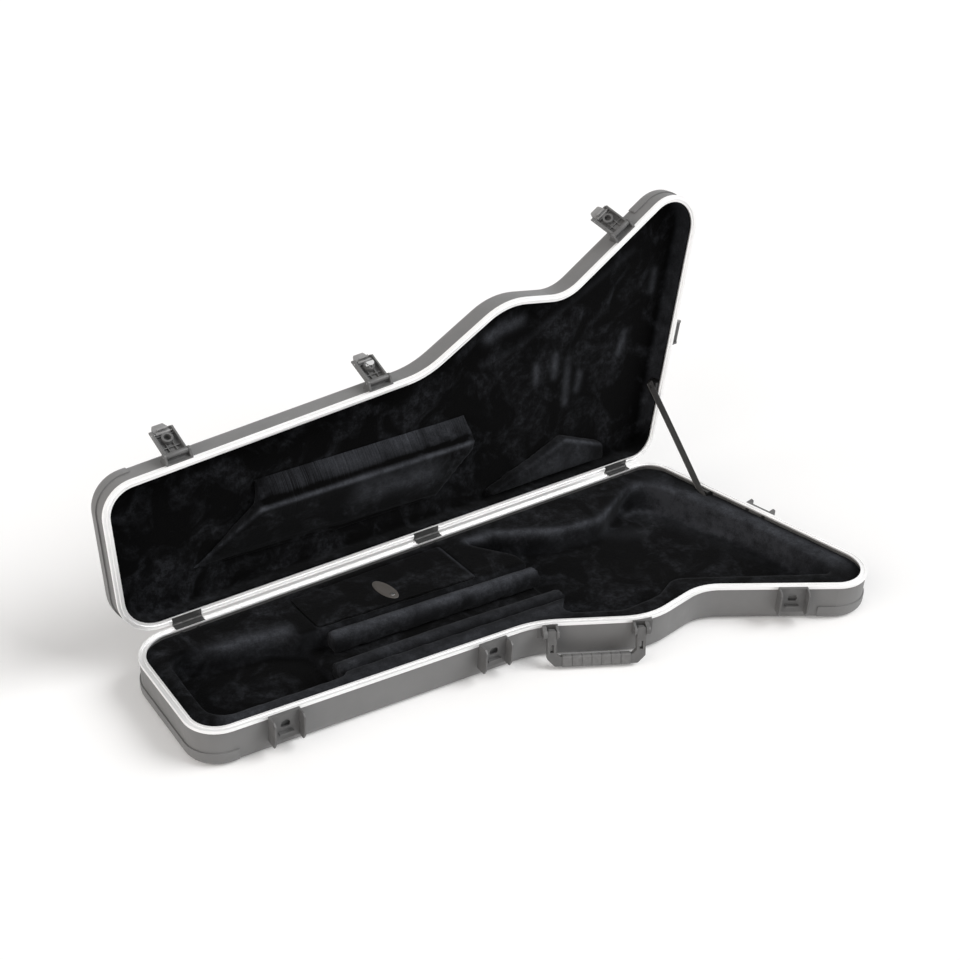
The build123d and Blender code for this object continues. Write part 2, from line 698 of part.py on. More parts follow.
def lock_cam():
    """A disc with a flat, behind the keeper's face when the latch is shut."""
    front = PIVOT_OUT - KEEPER_FACE + KEEPER_SKIN + CAM_GAP
    with BuildPart() as cam:
        with BuildSketch(Plane.XZ.offset(-front)):
            with Locations((0, -BOSS_DOWN)):
                Circle(CAM_RADIUS)
            with Locations((0, -BOSS_DOWN - CAM_FLAT - CAM_RADIUS)):
                Rectangle(4 * CAM_RADIUS, 2 * CAM_RADIUS, mode=Mode.SUBTRACT)
        extrude(amount=-CAM_THICK)
    return cam.part


# The handle is drawn on the flare's wall, each piece from the pivot's axis
def handle_bracket(side):
    """One bracket, its back cut to the shell and the rim."""
    arm_in, arm_out = HANDLE_SPAN / 2 - HANDLE_ARM / 2, HANDLE_SPAN / 2 + HANDLE_ARM / 2
    inner = (side * (arm_in - LUG_GAP - INNER_LUG), side * (arm_in - LUG_GAP))
    outer = (side * (arm_out + LUG_GAP), side * (arm_out + LUG_GAP + LUG))
    with BuildPart() as bracket:
        ends = (inner[0], outer[1] + side * PLATE_END)
        back = 2 * HANDLE_PLATE
        add(box(ends, (-HANDLE_PLATE, back), (-PLATE_BOTTOM, -PLATE_TOP)))
        for start, end in (inner, outer):
            with BuildSketch(Plane.YZ.offset((start + end) / 2)):
                with BuildLine():
                    Polyline(
                        (back, -PLATE_TOP),
                        (-HANDLE_PIVOT_OUT, -HANDLE_PIVOT_DEPTH + LUG_RADIUS),
                        (-HANDLE_PIVOT_OUT, -HANDLE_PIVOT_DEPTH - LUG_RADIUS),
                        (back, -PLATE_BOTTOM),
                        close=True,
                    )
                make_face()
                with Locations((-HANDLE_PIVOT_OUT, -HANDLE_PIVOT_DEPTH)):
                    Circle(LUG_RADIUS)
            extrude(amount=abs(end - start) / 2, both=True)
        pin = cross_pin(HANDLE_PIN_RADIUS, 4 * HANDLE_SPAN, -HANDLE_PIVOT_OUT, -HANDLE_PIVOT_DEPTH)
        add(pin, mode=Mode.SUBTRACT)
    with BuildPart() as fitted:
        add(bracket.part.moved(HANDLE_FRAME))
        add(upside_down(outline_block(WALL_OUTSIDE, 0, BASE_DEPTH)), mode=Mode.SUBTRACT)
        add(upside_down(outline_block(RIM_LAND, 0, RIM_FACE)), mode=Mode.SUBTRACT)
    return fitted.part


def handle_frame():
    outer = HANDLE_SPAN / 2 + HANDLE_ARM / 2
    inner = HANDLE_SPAN / 2 - HANDLE_ARM / 2
    top = HANDLE_ARM / 2
    bar_top = -HANDLE_DROP + GRIP_HEIGHT / 2
    bar_bottom = -HANDLE_DROP - GRIP_HEIGHT / 2
    width, height, below = WINDOW
    end, outside, inside = HANDLE_ROUNDS
    with BuildPart() as frame:
        with BuildSketch(Plane.XZ.offset(-HANDLE_THICK / 2)):
            with BuildLine():
                FilletPolyline(
                    (-outer, top),
                    (-outer, bar_bottom + HANDLE_CORNER),
                    (-outer + HANDLE_CORNER, bar_bottom),
                    (outer - HANDLE_CORNER, bar_bottom),
                    (outer, bar_bottom + HANDLE_CORNER),
                    (outer, top),
                    (inner, top),
                    (inner, bar_top + HANDLE_CORNER / 2),
                    (inner - HANDLE_CORNER / 2, bar_top),
                    (-inner + HANDLE_CORNER / 2, bar_top),
                    (-inner, bar_top + HANDLE_CORNER / 2),
                    (-inner, top),
                    radius=[end] + [outside] * 4 + [end] * 2 + [inside] * 4 + [end],
                    close=True,
                )
            make_face()
            for side in (-1, 1):
                with Locations((side * HANDLE_SPAN / 2, -below)):
                    Rectangle(width, height, mode=Mode.SUBTRACT)
        extrude(amount=HANDLE_THICK)
        bore = cross_pin(HANDLE_PIN_RADIUS + PIN_RUNNING, 2 * HANDLE_SPAN)
        add(bore, mode=Mode.SUBTRACT)
    return frame.part


def handle_grip():
    """A ribbed sleeve around the bar."""
    deep = HANDLE_THICK / 2 + GRIP_SLEEVE
    tall = GRIP_HEIGHT / 2 + GRIP_SLEEVE
    half = GRIP_LENGTH / 2
    with BuildPart() as grip:
        add(box((-half, half), (-deep, deep), (-HANDLE_DROP - tall, -HANDLE_DROP + tall)))
        fillet(grip.edges().filter_by(Axis.X), radius=2 * GRIP_SLEEVE)
        ring = GRIP_SLEEVE / 2
        spacing = GRIP_LENGTH / GRIP_RIBS
        with BuildPart(mode=Mode.PRIVATE) as groove:
            wide, thick = GRIP_GROOVE / 2, 2 * deep
            around = (-HANDLE_DROP - 2 * tall, -HANDLE_DROP + 2 * tall)
            add(box((-wide, wide), (-thick, thick), around))
            core_y = (ring - deep, deep - ring)
            core_z = (-HANDLE_DROP - tall + ring, -HANDLE_DROP + tall - ring)
            add(box((-wide, wide), core_y, core_z), mode=Mode.SUBTRACT)
        for index in range(1, GRIP_RIBS):
            cut = groove.part.moved(Location((-half + index * spacing, 0, 0)))
            add(cut, mode=Mode.SUBTRACT)
        bar_y = (-HANDLE_THICK / 2, HANDLE_THICK / 2)
        bar_z = (-HANDLE_DROP - GRIP_HEIGHT / 2, -HANDLE_DROP + GRIP_HEIGHT / 2)
        add(box((-half - OVER, half + OVER), bar_y, bar_z), mode=Mode.SUBTRACT)
    return grip.part


# The strap runs in a plane of constant x, beside the tail's end wall, and its upper
# edge comes closest to the rim where it crosses the hinge plane
STRAP_SLANT = math.radians((180 - OPEN_ANGLE) / 2)
STRAP_CROSSING = STRAP_HOLD / math.tan(STRAP_SLANT) + STRAP_WIDTH / 2 / math.sin(STRAP_SLANT)
STRAP_X = tail_x(STRAP_Y + STRAP_CROSSING) - STRAP_CLEAR - STRAP_THICK / 2
LID_HOLD = Vector(0, STRAP_Y, STRAP_HOLD).rotate(Axis.X, -OPEN_ANGLE)
BASE_HOLD = Vector(0, STRAP_Y, -STRAP_HOLD)


def strap():
    run = LID_HOLD - BASE_HOLD
    middle = (LID_HOLD + BASE_HOLD) * 0.5 + Vector(STRAP_X, 0, 0)
    frame = Plane(origin=middle, x_dir=run.normalized(), z_dir=(1, 0, 0))
    with BuildPart() as band:
        with BuildSketch(frame):
            Rectangle(run.length + 2 * STRAP_END, STRAP_WIDTH)
            with Locations((-run.length / 2, 0), (run.length / 2, 0)):
                Circle(RIVET_RADIUS, mode=Mode.SUBTRACT)
        extrude(amount=STRAP_THICK / 2, both=True)
    return band.part


def anchor_room(grow):
    """The block behind the strap's end, up to the shell's wall, drawn in the lid."""
    half = ANCHOR / 2 + grow
    start = STRAP_X + STRAP_THICK / 2 - grow
    across = (STRAP_Y - half, STRAP_Y + half)
    return box((start, start + 3 * ANCHOR), across, (STRAP_HOLD - half, STRAP_HOLD + half))


def strap_anchor():
    with BuildPart() as block:
        add(anchor_room(0))
        add(outline_block(WALL_INSIDE, 0, BASE_DEPTH), mode=Mode.INTERSECT)
        hole = cross_pin(RIVET_RADIUS, STRAP_RIVET * 2, STRAP_Y, STRAP_HOLD, STRAP_X)
        add(hole, mode=Mode.SUBTRACT)
    return block.part


def strap_rivet():
    """Along x, through the strap into its anchor, drawn in the lid."""
    inside = STRAP_X - STRAP_THICK / 2
    with BuildPart() as pin:
        length = STRAP_X + STRAP_RIVET - inside
        add(cross_pin(RIVET_RADIUS, length, STRAP_Y, STRAP_HOLD, inside + length / 2))
        add(cross_pin(RIVET_HEAD, RIVET_RISE, STRAP_Y, STRAP_HOLD, inside - RIVET_RISE / 2))
        fillet(pin.edges().filter_by(GeomType.CIRCLE).sort_by(Axis.X)[0], RIVET_RISE / 2)
    return pin.part


def strap_slot():
    """The room in the padding for the strap's end and its anchor, drawn in the lid."""
    along = (0, math.cos(STRAP_SLANT), -math.sin(STRAP_SLANT))
    inside = STRAP_X - STRAP_THICK / 2 - CLEAR
    frame = Plane(origin=(inside, STRAP_Y, STRAP_HOLD), x_dir=along, z_dir=(1, 0, 0))
    length = 2 * (STRAP_HOLD + STRAP_WIDTH)
    with BuildPart() as room:
        add(anchor_room(CLEAR))
        with BuildSketch(frame):
            with Locations((length / 2 - STRAP_END - CLEAR, 0)):
                Rectangle(length, STRAP_WIDTH + 2 * CLEAR)
        extrude(amount=STRAP_THICK + 2 * CLEAR)
        head = RIVET_RISE + CLEAR
        add(cross_pin(RIVET_HEAD + CLEAR, 2 * head, STRAP_Y, STRAP_HOLD, inside))
    return room.part


# Plans of the recesses in the base padding, each point with the radius of its corner
HEAD_WELL = [
    Corner(HEAD_WELL_START + NECK_END_LEAN, -52, 22),
    Corner(HEAD_WELL_START, neck_y(HEAD_WELL_START, LEDGE_WIDTH), 38),
    Corner(HEAD_WELL_END, neck_y(HEAD_WELL_END, LEDGE_WIDTH), 10),
    Corner(HEAD_WELL_END, -130, 14),
    Corner(HEAD_WELL_END - 47, -96, 40),
    Corner(HEAD_WELL_START + 108, -84, 60),
]
CHANNEL = [
    Corner(CHANNEL_START, neck_y(CHANNEL_START, CHANNEL_FAR), 6),
    Corner(CHANNEL_START, neck_y(CHANNEL_START, CHANNEL_NEAR), 6),
    Corner(CHANNEL_END, neck_y(CHANNEL_END, CHANNEL_NEAR), 6),
    Corner(CHANNEL_END, neck_y(CHANNEL_END, CHANNEL_FAR), 6),
]
BODY_RECESS = [
    Corner(BOX_END + 38, -30, 8),
    Corner(CHANNEL_END - 6, -122, 30),
    Corner(CHANNEL_END - 9, NECK_Y + 42, 18),
    Corner(CHANNEL_END - 50, NECK_Y + 5, 18),
    Corner(FLARE_X - 14, FLARE_Y + 46, 80),
    Corner(FLARE_X + 64, FLARE_Y + 46, 60),
    Corner(WAIST_X - 16, WAIST_Y + 52, 40),
    Corner(TIP_X - 70, TIP_Y + 96, 12),
    Corner(tail_x(TIP_Y + 290) - TAIL_LEDGE, TIP_Y + 290, 150),
    Corner(tail_x(-60) - 1.7 * TAIL_LEDGE, -60, 36),
    Corner(WAIST_X + 110, -52, 40),
    Corner(WAIST_X + 4, -112, 45),
    Corner(WAIST_X - 100, -98, 90),
]


def recess(corners, depth):
    points = [(corner.x, corner.y) for corner in corners]
    return plan_block(points, [corner.radius for corner in corners], 0, depth)


def base_padding():
    """Foam block in the base, cut out for the guitar."""
    with BuildPart() as foam:
        add(outline_block(WALL_INSIDE - PAD_GAP, LEDGE, FOAM_BOTTOM, EDGE_RADIUS))
        add(recess(HEAD_WELL, HEAD_WELL_DEPTH), mode=Mode.SUBTRACT)
        add(recess(CHANNEL, CHANNEL_DEPTH), mode=Mode.SUBTRACT)
        add(recess(BODY_RECESS, BODY_DEPTH), mode=Mode.SUBTRACT)
        seat = box_outline(0)
        add(plan_block(seat, BOX_STEP, 0, LEDGE + BOX_LID), mode=Mode.SUBTRACT)
        add(plan_block(box_outline(BOX_STEP), BOX_STEP, 0, BOX_DEPTH), mode=Mode.SUBTRACT)
        add(strap_slot(), mode=Mode.SUBTRACT)
    return upside_down(foam.part)


def box_outline(inset):
    """Plan of the compartment, drawn in from its opening."""
    start, end = BOX_START + inset, BOX_END - inset
    return [
        (start, BOX_BACK - inset),
        (start, neck_y(start, BOX_FRONT + inset)),
        (end, neck_y(end, BOX_FRONT + inset)),
        (end, BOX_BACK - inset),
    ]


def box_lid():
    top = -LEDGE
    return plan_block(box_outline(BOX_LID_GAP), BOX_STEP, top - BOX_LID, top)


# The tab's frame lies on the compartment lid, its x axis along the tab
TAB_FRAME = Location((TAB_X, TAB_Y, -LEDGE), (0, 0, TAB_LEAN - 90))
TAB_RIVET = (TAB_LENGTH / 2 - TAB_RIVET_IN, 0)


def pull_tab():
    """An oval tab lying on the compartment lid."""
    with BuildPart() as tab:
        with BuildSketch():
            Ellipse(TAB_LENGTH / 2, TAB_WIDTH / 2)
            with Locations(TAB_RIVET):
                Circle(RIVET_RADIUS, mode=Mode.SUBTRACT)
        extrude(amount=TAB_THICK)
    return tab.part.moved(TAB_FRAME)


def tab_rivet():
    with BuildPart() as pin:
        with BuildSketch():
            with Locations(TAB_RIVET):
                Circle(RIVET_RADIUS)
        extrude(amount=TAB_THICK)
        with BuildSketch(Plane.XY.offset(TAB_THICK)):
            with Locations(TAB_RIVET):
                Circle(RIVET_HEAD)
        extrude(amount=RIVET_RISE)
        fillet(pin.edges().filter_by(GeomType.CIRCLE).sort_by(Axis.Z)[-1], RIVET_RISE / 2)
    return pin.part.moved(TAB_FRAME)


def cushion(start, inward, front_shoulder):
    """A crowned roll along the neck; inward is the distance to its front side."""
    lean = NECK_RUN / math.hypot(NECK_RUN, NECK_TAPER)
    front = inward * lean + WALL_OUTSIDE + CLEAR
    back = front + CUSHION_WIDTH - CLEAR
    bottom = -CHANNEL_DEPTH + CLEAR
    front_edge = (front, front_shoulder)
    back_edge = (back, -CUSHION_TOP - CUSHION_CROWN)
    crest = ((front + back) / 2, -CUSHION_TOP)
    with BuildPart() as roll:
        with BuildSketch(Plane.YZ.offset(start)):
            with BuildLine():
                Polyline(front_edge, (front, bottom), (back, bottom), back_edge)
                ThreePointArc(back_edge, crest, front_edge)
            make_face()
        extrude(amount=CUSHION_END - start)
        with BuildSketch(Plane.XZ.offset(-back - OVER)):
            with BuildLine():
                FilletPolyline(
                    (start, bottom - CUSHION_CORNER),
                    (CUSHION_END, bottom - CUSHION_CORNER),
                    (CUSHION_END, 0),
                    (start, 0),
                    radius=[CUSHION_CORNER, CUSHION_CORNER, CUSHION_END_ROUND, CUSHION_END_ROUND],
                    close=True,
                )
            make_face()
        extrude(amount=back + 2 * OVER, mode=Mode.INTERSECT)
    return roll.part.moved(wall_frame(NECK_FRONT, 0))


LID_PAD_FLOOR = LID_DEPTH - WALL - FLOOR_GAP - LID_PAD_TOP


def lid_padding():
    """Lining of the lid's walls and top."""
    top = LID_DEPTH - WALL - FLOOR_GAP
    with BuildPart() as lining:
        add(outline_block(WALL_INSIDE - PAD_GAP, LID_PAD_EDGE, top, EDGE_RADIUS))
        add(outline_block(-LID_PAD_IN, 0, LID_PAD_FLOOR, LID_PAD_ROUND), mode=Mode.SUBTRACT)
        add(strap_slot(), mode=Mode.SUBTRACT)
    return lining.part


def slope(low, high, run):
    """A plane through two points, level along the given direction."""
    along = Vector(*run)
    return Plane(origin=low, x_dir=along, z_dir=along.cross(high - low))


def lid_neck_pad():
    """The long ridge that holds the neck down, its crest toward the base."""
    floor = LID_PAD_FLOOR
    toe, heel = Vector(131, -60, floor), Vector(629, -37, floor)
    front_foot = Vector(265, neck_y(265, 79), floor)
    front_end = Vector(CHANNEL_END - 10, neck_y(CHANNEL_END - 10, 44), floor)
    crest = Vector(262, NECK_PAD_CREST_Y, NECK_PAD_CREST)
    back = slope(toe, crest, heel - toe)
    front = slope(front_foot, crest, (1, 0, 0))
    corners = [toe, Vector(262, -157), front_foot, front_end, Vector(CHANNEL_END + 3, -150), heel]
    with BuildPart() as pad:
        with BuildSketch(Plane.XY.offset(NECK_PAD_CREST)):
            with BuildLine():
                Polyline(*[(corner.X, corner.Y) for corner in corners], close=True)
            make_face()
        extrude(amount=floor - NECK_PAD_CREST)
        split(bisect_by=back, keep=Keep.BOTTOM if back.z_dir.Z < 0 else Keep.TOP)
        split(bisect_by=front, keep=Keep.BOTTOM if front.z_dir.Z < 0 else Keep.TOP)
    return pad.part


def lid_body_pad():
    """A wedge over the guitar's body, against the hinge side."""
    plan = [(719, -25), (915, -98), (1012, -58), (1012, -25)]
    return plan_block(plan, BODY_PAD_CORNER, BODY_PAD_TOP, LID_PAD_FLOOR)


BASE_AT = Location((-ORIGIN_X, HINGE_Y, BASE_DEPTH))
LID_AT = BASE_AT * Location((0, 0, 0), (-OPEN_ANGLE, 0, 0))
HANDLE_FRAME = wall_frame(FLARE, HANDLE_ALONG)
HANDLE_PIVOT = Location((0, -HANDLE_PIVOT_OUT, -HANDLE_PIVOT_DEPTH))
HANDLE_AT = BASE_AT * HANDLE_FRAME * HANDLE_PIVOT * Location((0, 0, 0), (-HANDLE_REST, 0, 0))
ARM_PIVOT = Location((0, -PIVOT_OUT, PIVOT_UP))
ARM_SWUNG = Location((0, 0, 0), (-ARM_OPEN, 0, 0))


def keep(piece, label, place):
    """Move a finished piece to its resting place, label it and write it."""
    placed = piece.moved(place)
    placed.label = label
    export_step(placed, f"parts/{label}.step")


# Rivets: frame, x, depth, distance outside the wall, with or without a head
hinge_rivets = [
    (hinge_frame(station), side, HINGE_RIVET_DEPTH, LEAF, True)
    for station in HINGE_STATIONS.values()
    for side in (-HINGE_RIVET_SPREAD, HINGE_RIVET_SPREAD)
]
keeper_rivets = [
    (wall_frame(*station), side * KEEPER_RIVETS[0], down, BLIND, False)
    for station in LATCH_STATIONS.values()
    for side in (-1, 1)
    for down in KEEPER_RIVETS[1:]
]
bracket_rivets = [
    (wall_frame(*station), side * BRACKET_RIVETS[0], BRACKET_RIVETS[1], BLIND, False)
    for station in LATCH_STATIONS.values()
    for side in (-1, 1)
]

keep(upside_down(shell(BASE_DEPTH, hinge_rivets + keeper_rivets)), "base_shell", BASE_AT)
keep(shell(LID_DEPTH, hinge_rivets + bracket_rivets), "lid_shell", LID_AT)
keep(upside_down(rim(tongue=False)), "base_rim", BASE_AT)
keep(rim(tongue=True), "lid_rim", LID_AT)

base_rivets = [
    upside_down(rivet(x, z, outside, headed)).moved(place)
    for place, x, z, outside, headed in hinge_rivets + keeper_rivets
]
lid_rivets = [
    rivet(x, z, outside, headed).moved(place)
    for place, x, z, outside, headed in hinge_rivets + bracket_rivets
]
keep(Compound(children=base_rivets + [upside_down(strap_rivet())]), "base_rivets", BASE_AT)
keep(Compound(children=lid_rivets + [strap_rivet()]), "lid_rivets", LID_AT)

hinge_pin = cross_pin(HINGE_PIN_RADIUS, HINGE_WIDTH, -AXIS_OUT)
hinge_pins = []
base_leaf = upside_down(hinge_leaf(OUTER_KNUCKLES, MIDDLE_KNUCKLE, HINGE_PIN_RADIUS))
lid_leaf = hinge_leaf(MIDDLE_KNUCKLE, OUTER_KNUCKLES, HINGE_PIN_RADIUS + HINGE_RUNNING)
for name, station in HINGE_STATIONS.items():
    place = hinge_frame(station)
    keep(base_leaf, f"hinge_leaf_base_{name}", BASE_AT * place)
    keep(lid_leaf, f"hinge_leaf_lid_{name}", LID_AT * place)
    hinge_pins.append(hinge_pin.moved(place))
keep(Compound(children=hinge_pins), "hinge_pins", BASE_AT)

bracket = latch_bracket()
catch = keeper()
trigger = latch_trigger()
spring = trigger_spring()
trigger_pin = cross_pin(TRIGGER_PIN_RADIUS, ARM_WIDTH, -TRIGGER_PIN_OUT, -TRIGGER_DOWN)
arm_pins = []
for name, station in LATCH_STATIONS.items():
    place = wall_frame(*station)
    swung = LID_AT * place * ARM_PIVOT * ARM_SWUNG
    keep(bracket, f"latch_bracket_{name}", LID_AT * place)
    keep(catch, f"keeper_{name}", BASE_AT * place)
    keep(latch_arm(name == LOCKED_LATCH), f"latch_arm_{name}", swung)
    keep(trigger, f"latch_trigger_{name}", swung)
    keep(trigger_pin, f"trigger_pin_{name}", swung)
    keep(spring, f"trigger_spring_{name}", swung)
    arm_pins.append(cross_pin(ARM_PIN_RADIUS, BRACKET_WIDTH).moved(place * ARM_PIVOT))
keep(Compound(children=arm_pins), "latch_arm_pins", LID_AT)

lock_at = LID_AT * wall_frame(*LATCH_STATIONS[LOCKED_LATCH]) * ARM_PIVOT * ARM_SWUNG
keep(lock_cylinder(), "lock_cylinder", lock_at)
keep(lock_cam(), "lock_cam", lock_at)

keep(handle_bracket(-1), "handle_bracket_left", BASE_AT)
keep(handle_bracket(1), "handle_bracket_right", BASE_AT)
keep(handle_frame(), "handle_frame", HANDLE_AT)
keep(handle_grip(), "handle_grip", HANDLE_AT)
pin_length = HANDLE_ARM + 2 * LUG_GAP + INNER_LUG + LUG
handle_pins = [
    cross_pin(HANDLE_PIN_RADIUS, pin_length, 0, 0, side * (HANDLE_SPAN + LUG - INNER_LUG) / 2)
    for side in (-1, 1)
]
keep(Compound(children=handle_pins), "handle_pins", BASE_AT * HANDLE_FRAME * HANDLE_PIVOT)

keep(strap(), "lid_stay_strap", BASE_AT)
keep(upside_down(strap_anchor()), "strap_anchor_base", BASE_AT)
keep(strap_anchor(), "strap_anchor_lid", LID_AT)

keep(base_padding(), "base_padding", BASE_AT)
flush = -LEDGE - CUSHION_FLUSH
front_cushion = cushion(FRONT_CUSHION_START, CHANNEL_NEAR, flush)
rear_inward = CHANNEL_FAR - CUSHION_WIDTH - CLEAR
rear_cushion = cushion(REAR_CUSHION_START, rear_inward, -CUSHION_TOP - CUSHION_CROWN)
keep(front_cushion, "neck_cushion_front", BASE_AT)
keep(rear_cushion, "neck_cushion_rear", BASE_AT)
keep(box_lid(), "box_lid", BASE_AT)
keep(pull_tab(), "pull_tab", BASE_AT)
keep(tab_rivet(), "tab_rivet", BASE_AT)

keep(lid_padding(), "lid_padding", LID_AT)
keep(lid_neck_pad(), "lid_neck_pad", LID_AT)
keep(lid_body_pad(), "lid_body_pad", LID_AT)
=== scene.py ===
import json
import math

import bmesh
import bpy
import numpy as np
from mathutils import Euler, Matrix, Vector, noise


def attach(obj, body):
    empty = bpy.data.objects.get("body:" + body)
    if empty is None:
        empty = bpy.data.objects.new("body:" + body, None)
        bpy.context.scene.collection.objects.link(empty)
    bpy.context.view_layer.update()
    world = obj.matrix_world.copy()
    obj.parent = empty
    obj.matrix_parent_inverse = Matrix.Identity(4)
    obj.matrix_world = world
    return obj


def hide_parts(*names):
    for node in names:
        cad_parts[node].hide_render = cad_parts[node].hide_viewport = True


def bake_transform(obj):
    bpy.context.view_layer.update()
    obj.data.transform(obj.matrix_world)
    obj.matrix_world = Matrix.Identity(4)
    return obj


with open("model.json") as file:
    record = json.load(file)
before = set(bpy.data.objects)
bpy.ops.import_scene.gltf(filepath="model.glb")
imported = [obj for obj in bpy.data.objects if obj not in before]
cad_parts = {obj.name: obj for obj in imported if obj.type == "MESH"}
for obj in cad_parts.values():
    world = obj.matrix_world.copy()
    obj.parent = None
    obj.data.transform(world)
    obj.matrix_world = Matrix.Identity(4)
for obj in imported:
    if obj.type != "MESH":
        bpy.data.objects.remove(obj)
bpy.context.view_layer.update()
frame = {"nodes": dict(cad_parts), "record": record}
NODES = frame["nodes"]

MM = 0.001
WHITE = (1.0, 1.0, 1.0)

# Camera of the photograph: place, turn in degrees, lens and sensor in millimetres, reach in metres
CAMERA_AT = Vector((-1369.2, -1640.4, 1587.4)) * MM
CAMERA_TURN = (59.133, -2.527, -36.196)
CAMERA_LENS = 58.034
CAMERA_SENSOR = 36.0
CAMERA_REACH = 100.0

# Light, at the level where a colour renders about as written, with angles in degrees
DOME = 0.36
KEY = {"energy": 2.25, "turn": (46.0, 0.0, 53.0), "softness": 40.0, "colour": WHITE}
FILL = {"energy": 1.5, "turn": (68.0, 0.0, -84.0), "softness": 60.0, "colour": (1.0, 0.93, 0.87)}

# The floor's side in metres, and how much brighter it is for the camera
FLOOR_SIDE = 60.0
FLOOR_GLOW = 0.12

# The case's own frame: millimetres from the hinge axis, x from the neck end, lid closed
HINGE_AT = np.array((-598.0, 262.0, 71.0))
OPEN_ANGLE = math.radians(-94.3)
OPEN_TURN = np.array(
    (
        (1.0, 0.0, 0.0),
        (0.0, math.cos(OPEN_ANGLE), -math.sin(OPEN_ANGLE)),
        (0.0, math.sin(OPEN_ANGLE), math.cos(OPEN_ANGLE)),
    )
)

# Heights in the case's own frame
LEDGE = -9.0
RECESS_FLOOR = -58.0
LID_FLOOR = 39.6

# Darker and lighter tone of each finish as they show on screen, from 0 to 255
TONES = {
    "shell": (110, 119),
    "rim": (244, 251),
    "enamel": (54, 98),
    "steel": (168, 205),
    "fitting": (84, 100),
    "trigger": (122, 142),
    "anchor": (22, 34),
    "lock": (206, 224),
    "grip": (98, 116),
    "webbing": (42, 76),
    # The pile's lighter tone is also the colour of its painted sheen
    "pile": (4, (67, 69, 74)),
    "tab": ((62, 60, 58), (90, 86, 82)),
    "floor": (240, 243),
}
SCUFF_TONE = 150
SCUFF_SHARE = 0.25

# A Mix node's sockets for its two colours and the result
MIX_FIRST, MIX_SECOND, MIX_RESULT = 6, 7, 2

# How much brighter the pile is in its patches and in its combed streaks
PATCH_LIFT = 0.4
STREAK_LIFT = 0.7

# Weave of the strap, in radians for each metre
RIBS_ALONG = 3600.0
TWILL_ALONG = 1500.0
TWILL_ACROSS = 4200.0

# Rounding of sharp edges in millimetres, and the least angle in degrees that counts as sharp
LATCHES = ("neck", "middle", "body", "tail")
LATCH_EDGES = {"latch_bracket": 0.6, "keeper": 0.7, "latch_arm": 0.5, "latch_trigger": 0.5}
HINGES = ("neck", "middle", "body")
HINGE_EDGES = {"hinge_leaf_base": 0.3, "hinge_leaf_lid": 0.3}
FITTING_EDGES = {
    "handle_bracket_left": 0.8,
    "handle_bracket_right": 0.8,
    "handle_frame": 1.2,
    "handle_grip": 0.5,
    "lock_cylinder": 0.3,
}
SHELL_EDGES = {"base_shell": 0.9, "lid_shell": 0.9, "base_rim": 0.35, "lid_rim": 0.35}
FITTING_SHARP = 35.0
SHELL_SHARP = 40.0
EDGE_SEGMENTS = 2
WELD_WITHIN = 0.01

# Soft pieces: spacing of their meshes in millimetres, rounds of relaxing, share of filling,
# and how thick the cover over the compartment's board is
LINING_VOXEL = 4.0
BASE_LINING_ROUNDS = 12
LID_LINING_ROUNDS = 8
STUFFED_VOXEL = 5.0
STUFFED_ROUNDS = 3
BOARD_VOXEL = 2.0
BOARD_ROUNDS = 1
RELAX_FACTOR = 0.5
BOARD_COVER = 0.35

# Stuffed covers: how much smaller they start, how far they may swell, and their cloth
ROLL_SHRINK = 1.6
ROLL_CAP = 3.0
LID_PAD_SHRINK = 1.2
LID_PAD_CAP = 2.5
COVER_FRAMES = 20
COVER_CLOTH = {
    "quality": 4,
    "use_pressure": True,
    "uniform_pressure_force": 4.0,
    "tension_stiffness": 10,
    "compression_stiffness": 10,
    "bending_stiffness": 2.0,
}

# Shift of the noise for each step of its seed, and how gathers wander from an even pitch
SEED_SHIFT = (7.1, 3.7, 5.3)
SWAY_PER_METRE = 30.0
SWAY = 0.8

# Walls are painted lighter, as lit, from this far off the hinge axis, and fully so past the fade
WALL_LIGHT_FROM = 40.0
WALL_LIGHT_FADE = 60.0

# The front wall of the neck: its y at x 0, and how far it comes forward over its run
NECK_WALL_Y = -264.0
NECK_WALL_FORWARD = 43.0
NECK_WALL_RUN = 592.0

# The neck rolls: where the lines of a roll lie inside its front, and their ends and heights
ROLL_FRONT_IN = 3.0
ROLL_CREST_IN = 18.0
ROLL_BACK_IN = 34.0
ROLL_END = 692
ROLL_FOOT = -34
ROLL_SHOULDER = -16
ROLL_CREST = -6
ROLL_FRONT_SEAM = -20
ROLL_BACK_SEAM = -22
SEAM_FROM_START = 8
SEAM_FROM_END = 6
CREST_FROM_START = 6
CREST_FROM_END = 4

# The lid stay strap: its place, its holds' distance from the rim plane, its ends past them
STRAP_X = 1128.5
STRAP_Y = -145.0
STRAP_HOLD = 15.0
STRAP_END = 9.0

# Its section, thinner toward its edges, and how far it bows out along its middle
STRAP_WIDTH = 18.0
STRAP_THICK = 1.5
STRAP_EDGE_THINNING = 0.55
STRAP_EDGE_POWER = 6
STRAP_BOW = 0.6
STRAP_ROWS = 120
STRAP_COLUMNS = 6

# The pull tab on the compartment cover, in millimetres and degrees
TAB_AT = (437.0, -91.0, LEDGE)
TAB_LENGTH = 62.0
TAB_WIDTH = 28.0
TAB_THICK = 1.6
TAB_LEAN = 8.0
TAB_RIVET_IN = 12.0
TAB_RIVET_REACH = 6.0
TAB_SIDES = 96

# From under its edge to its middle: share of the half width, and height over the cover
TAB_PROFILE = (
    (0.97, 0.1), (1.0, 0.6), (0.985, 1.2), (0.94, 1.6), (0.88, 1.55),
    (0.845, 1.15), (0.81, 1.5), (0.7, 1.45), (0.5, 1.2), (0.3, 1.05), (0.1, 1.0),
)


def to_case(points, lid):
    """Points at rest, in metres, to the case's own frame."""
    shifted = points / MM - HINGE_AT
    return shifted @ OPEN_TURN if lid else shifted


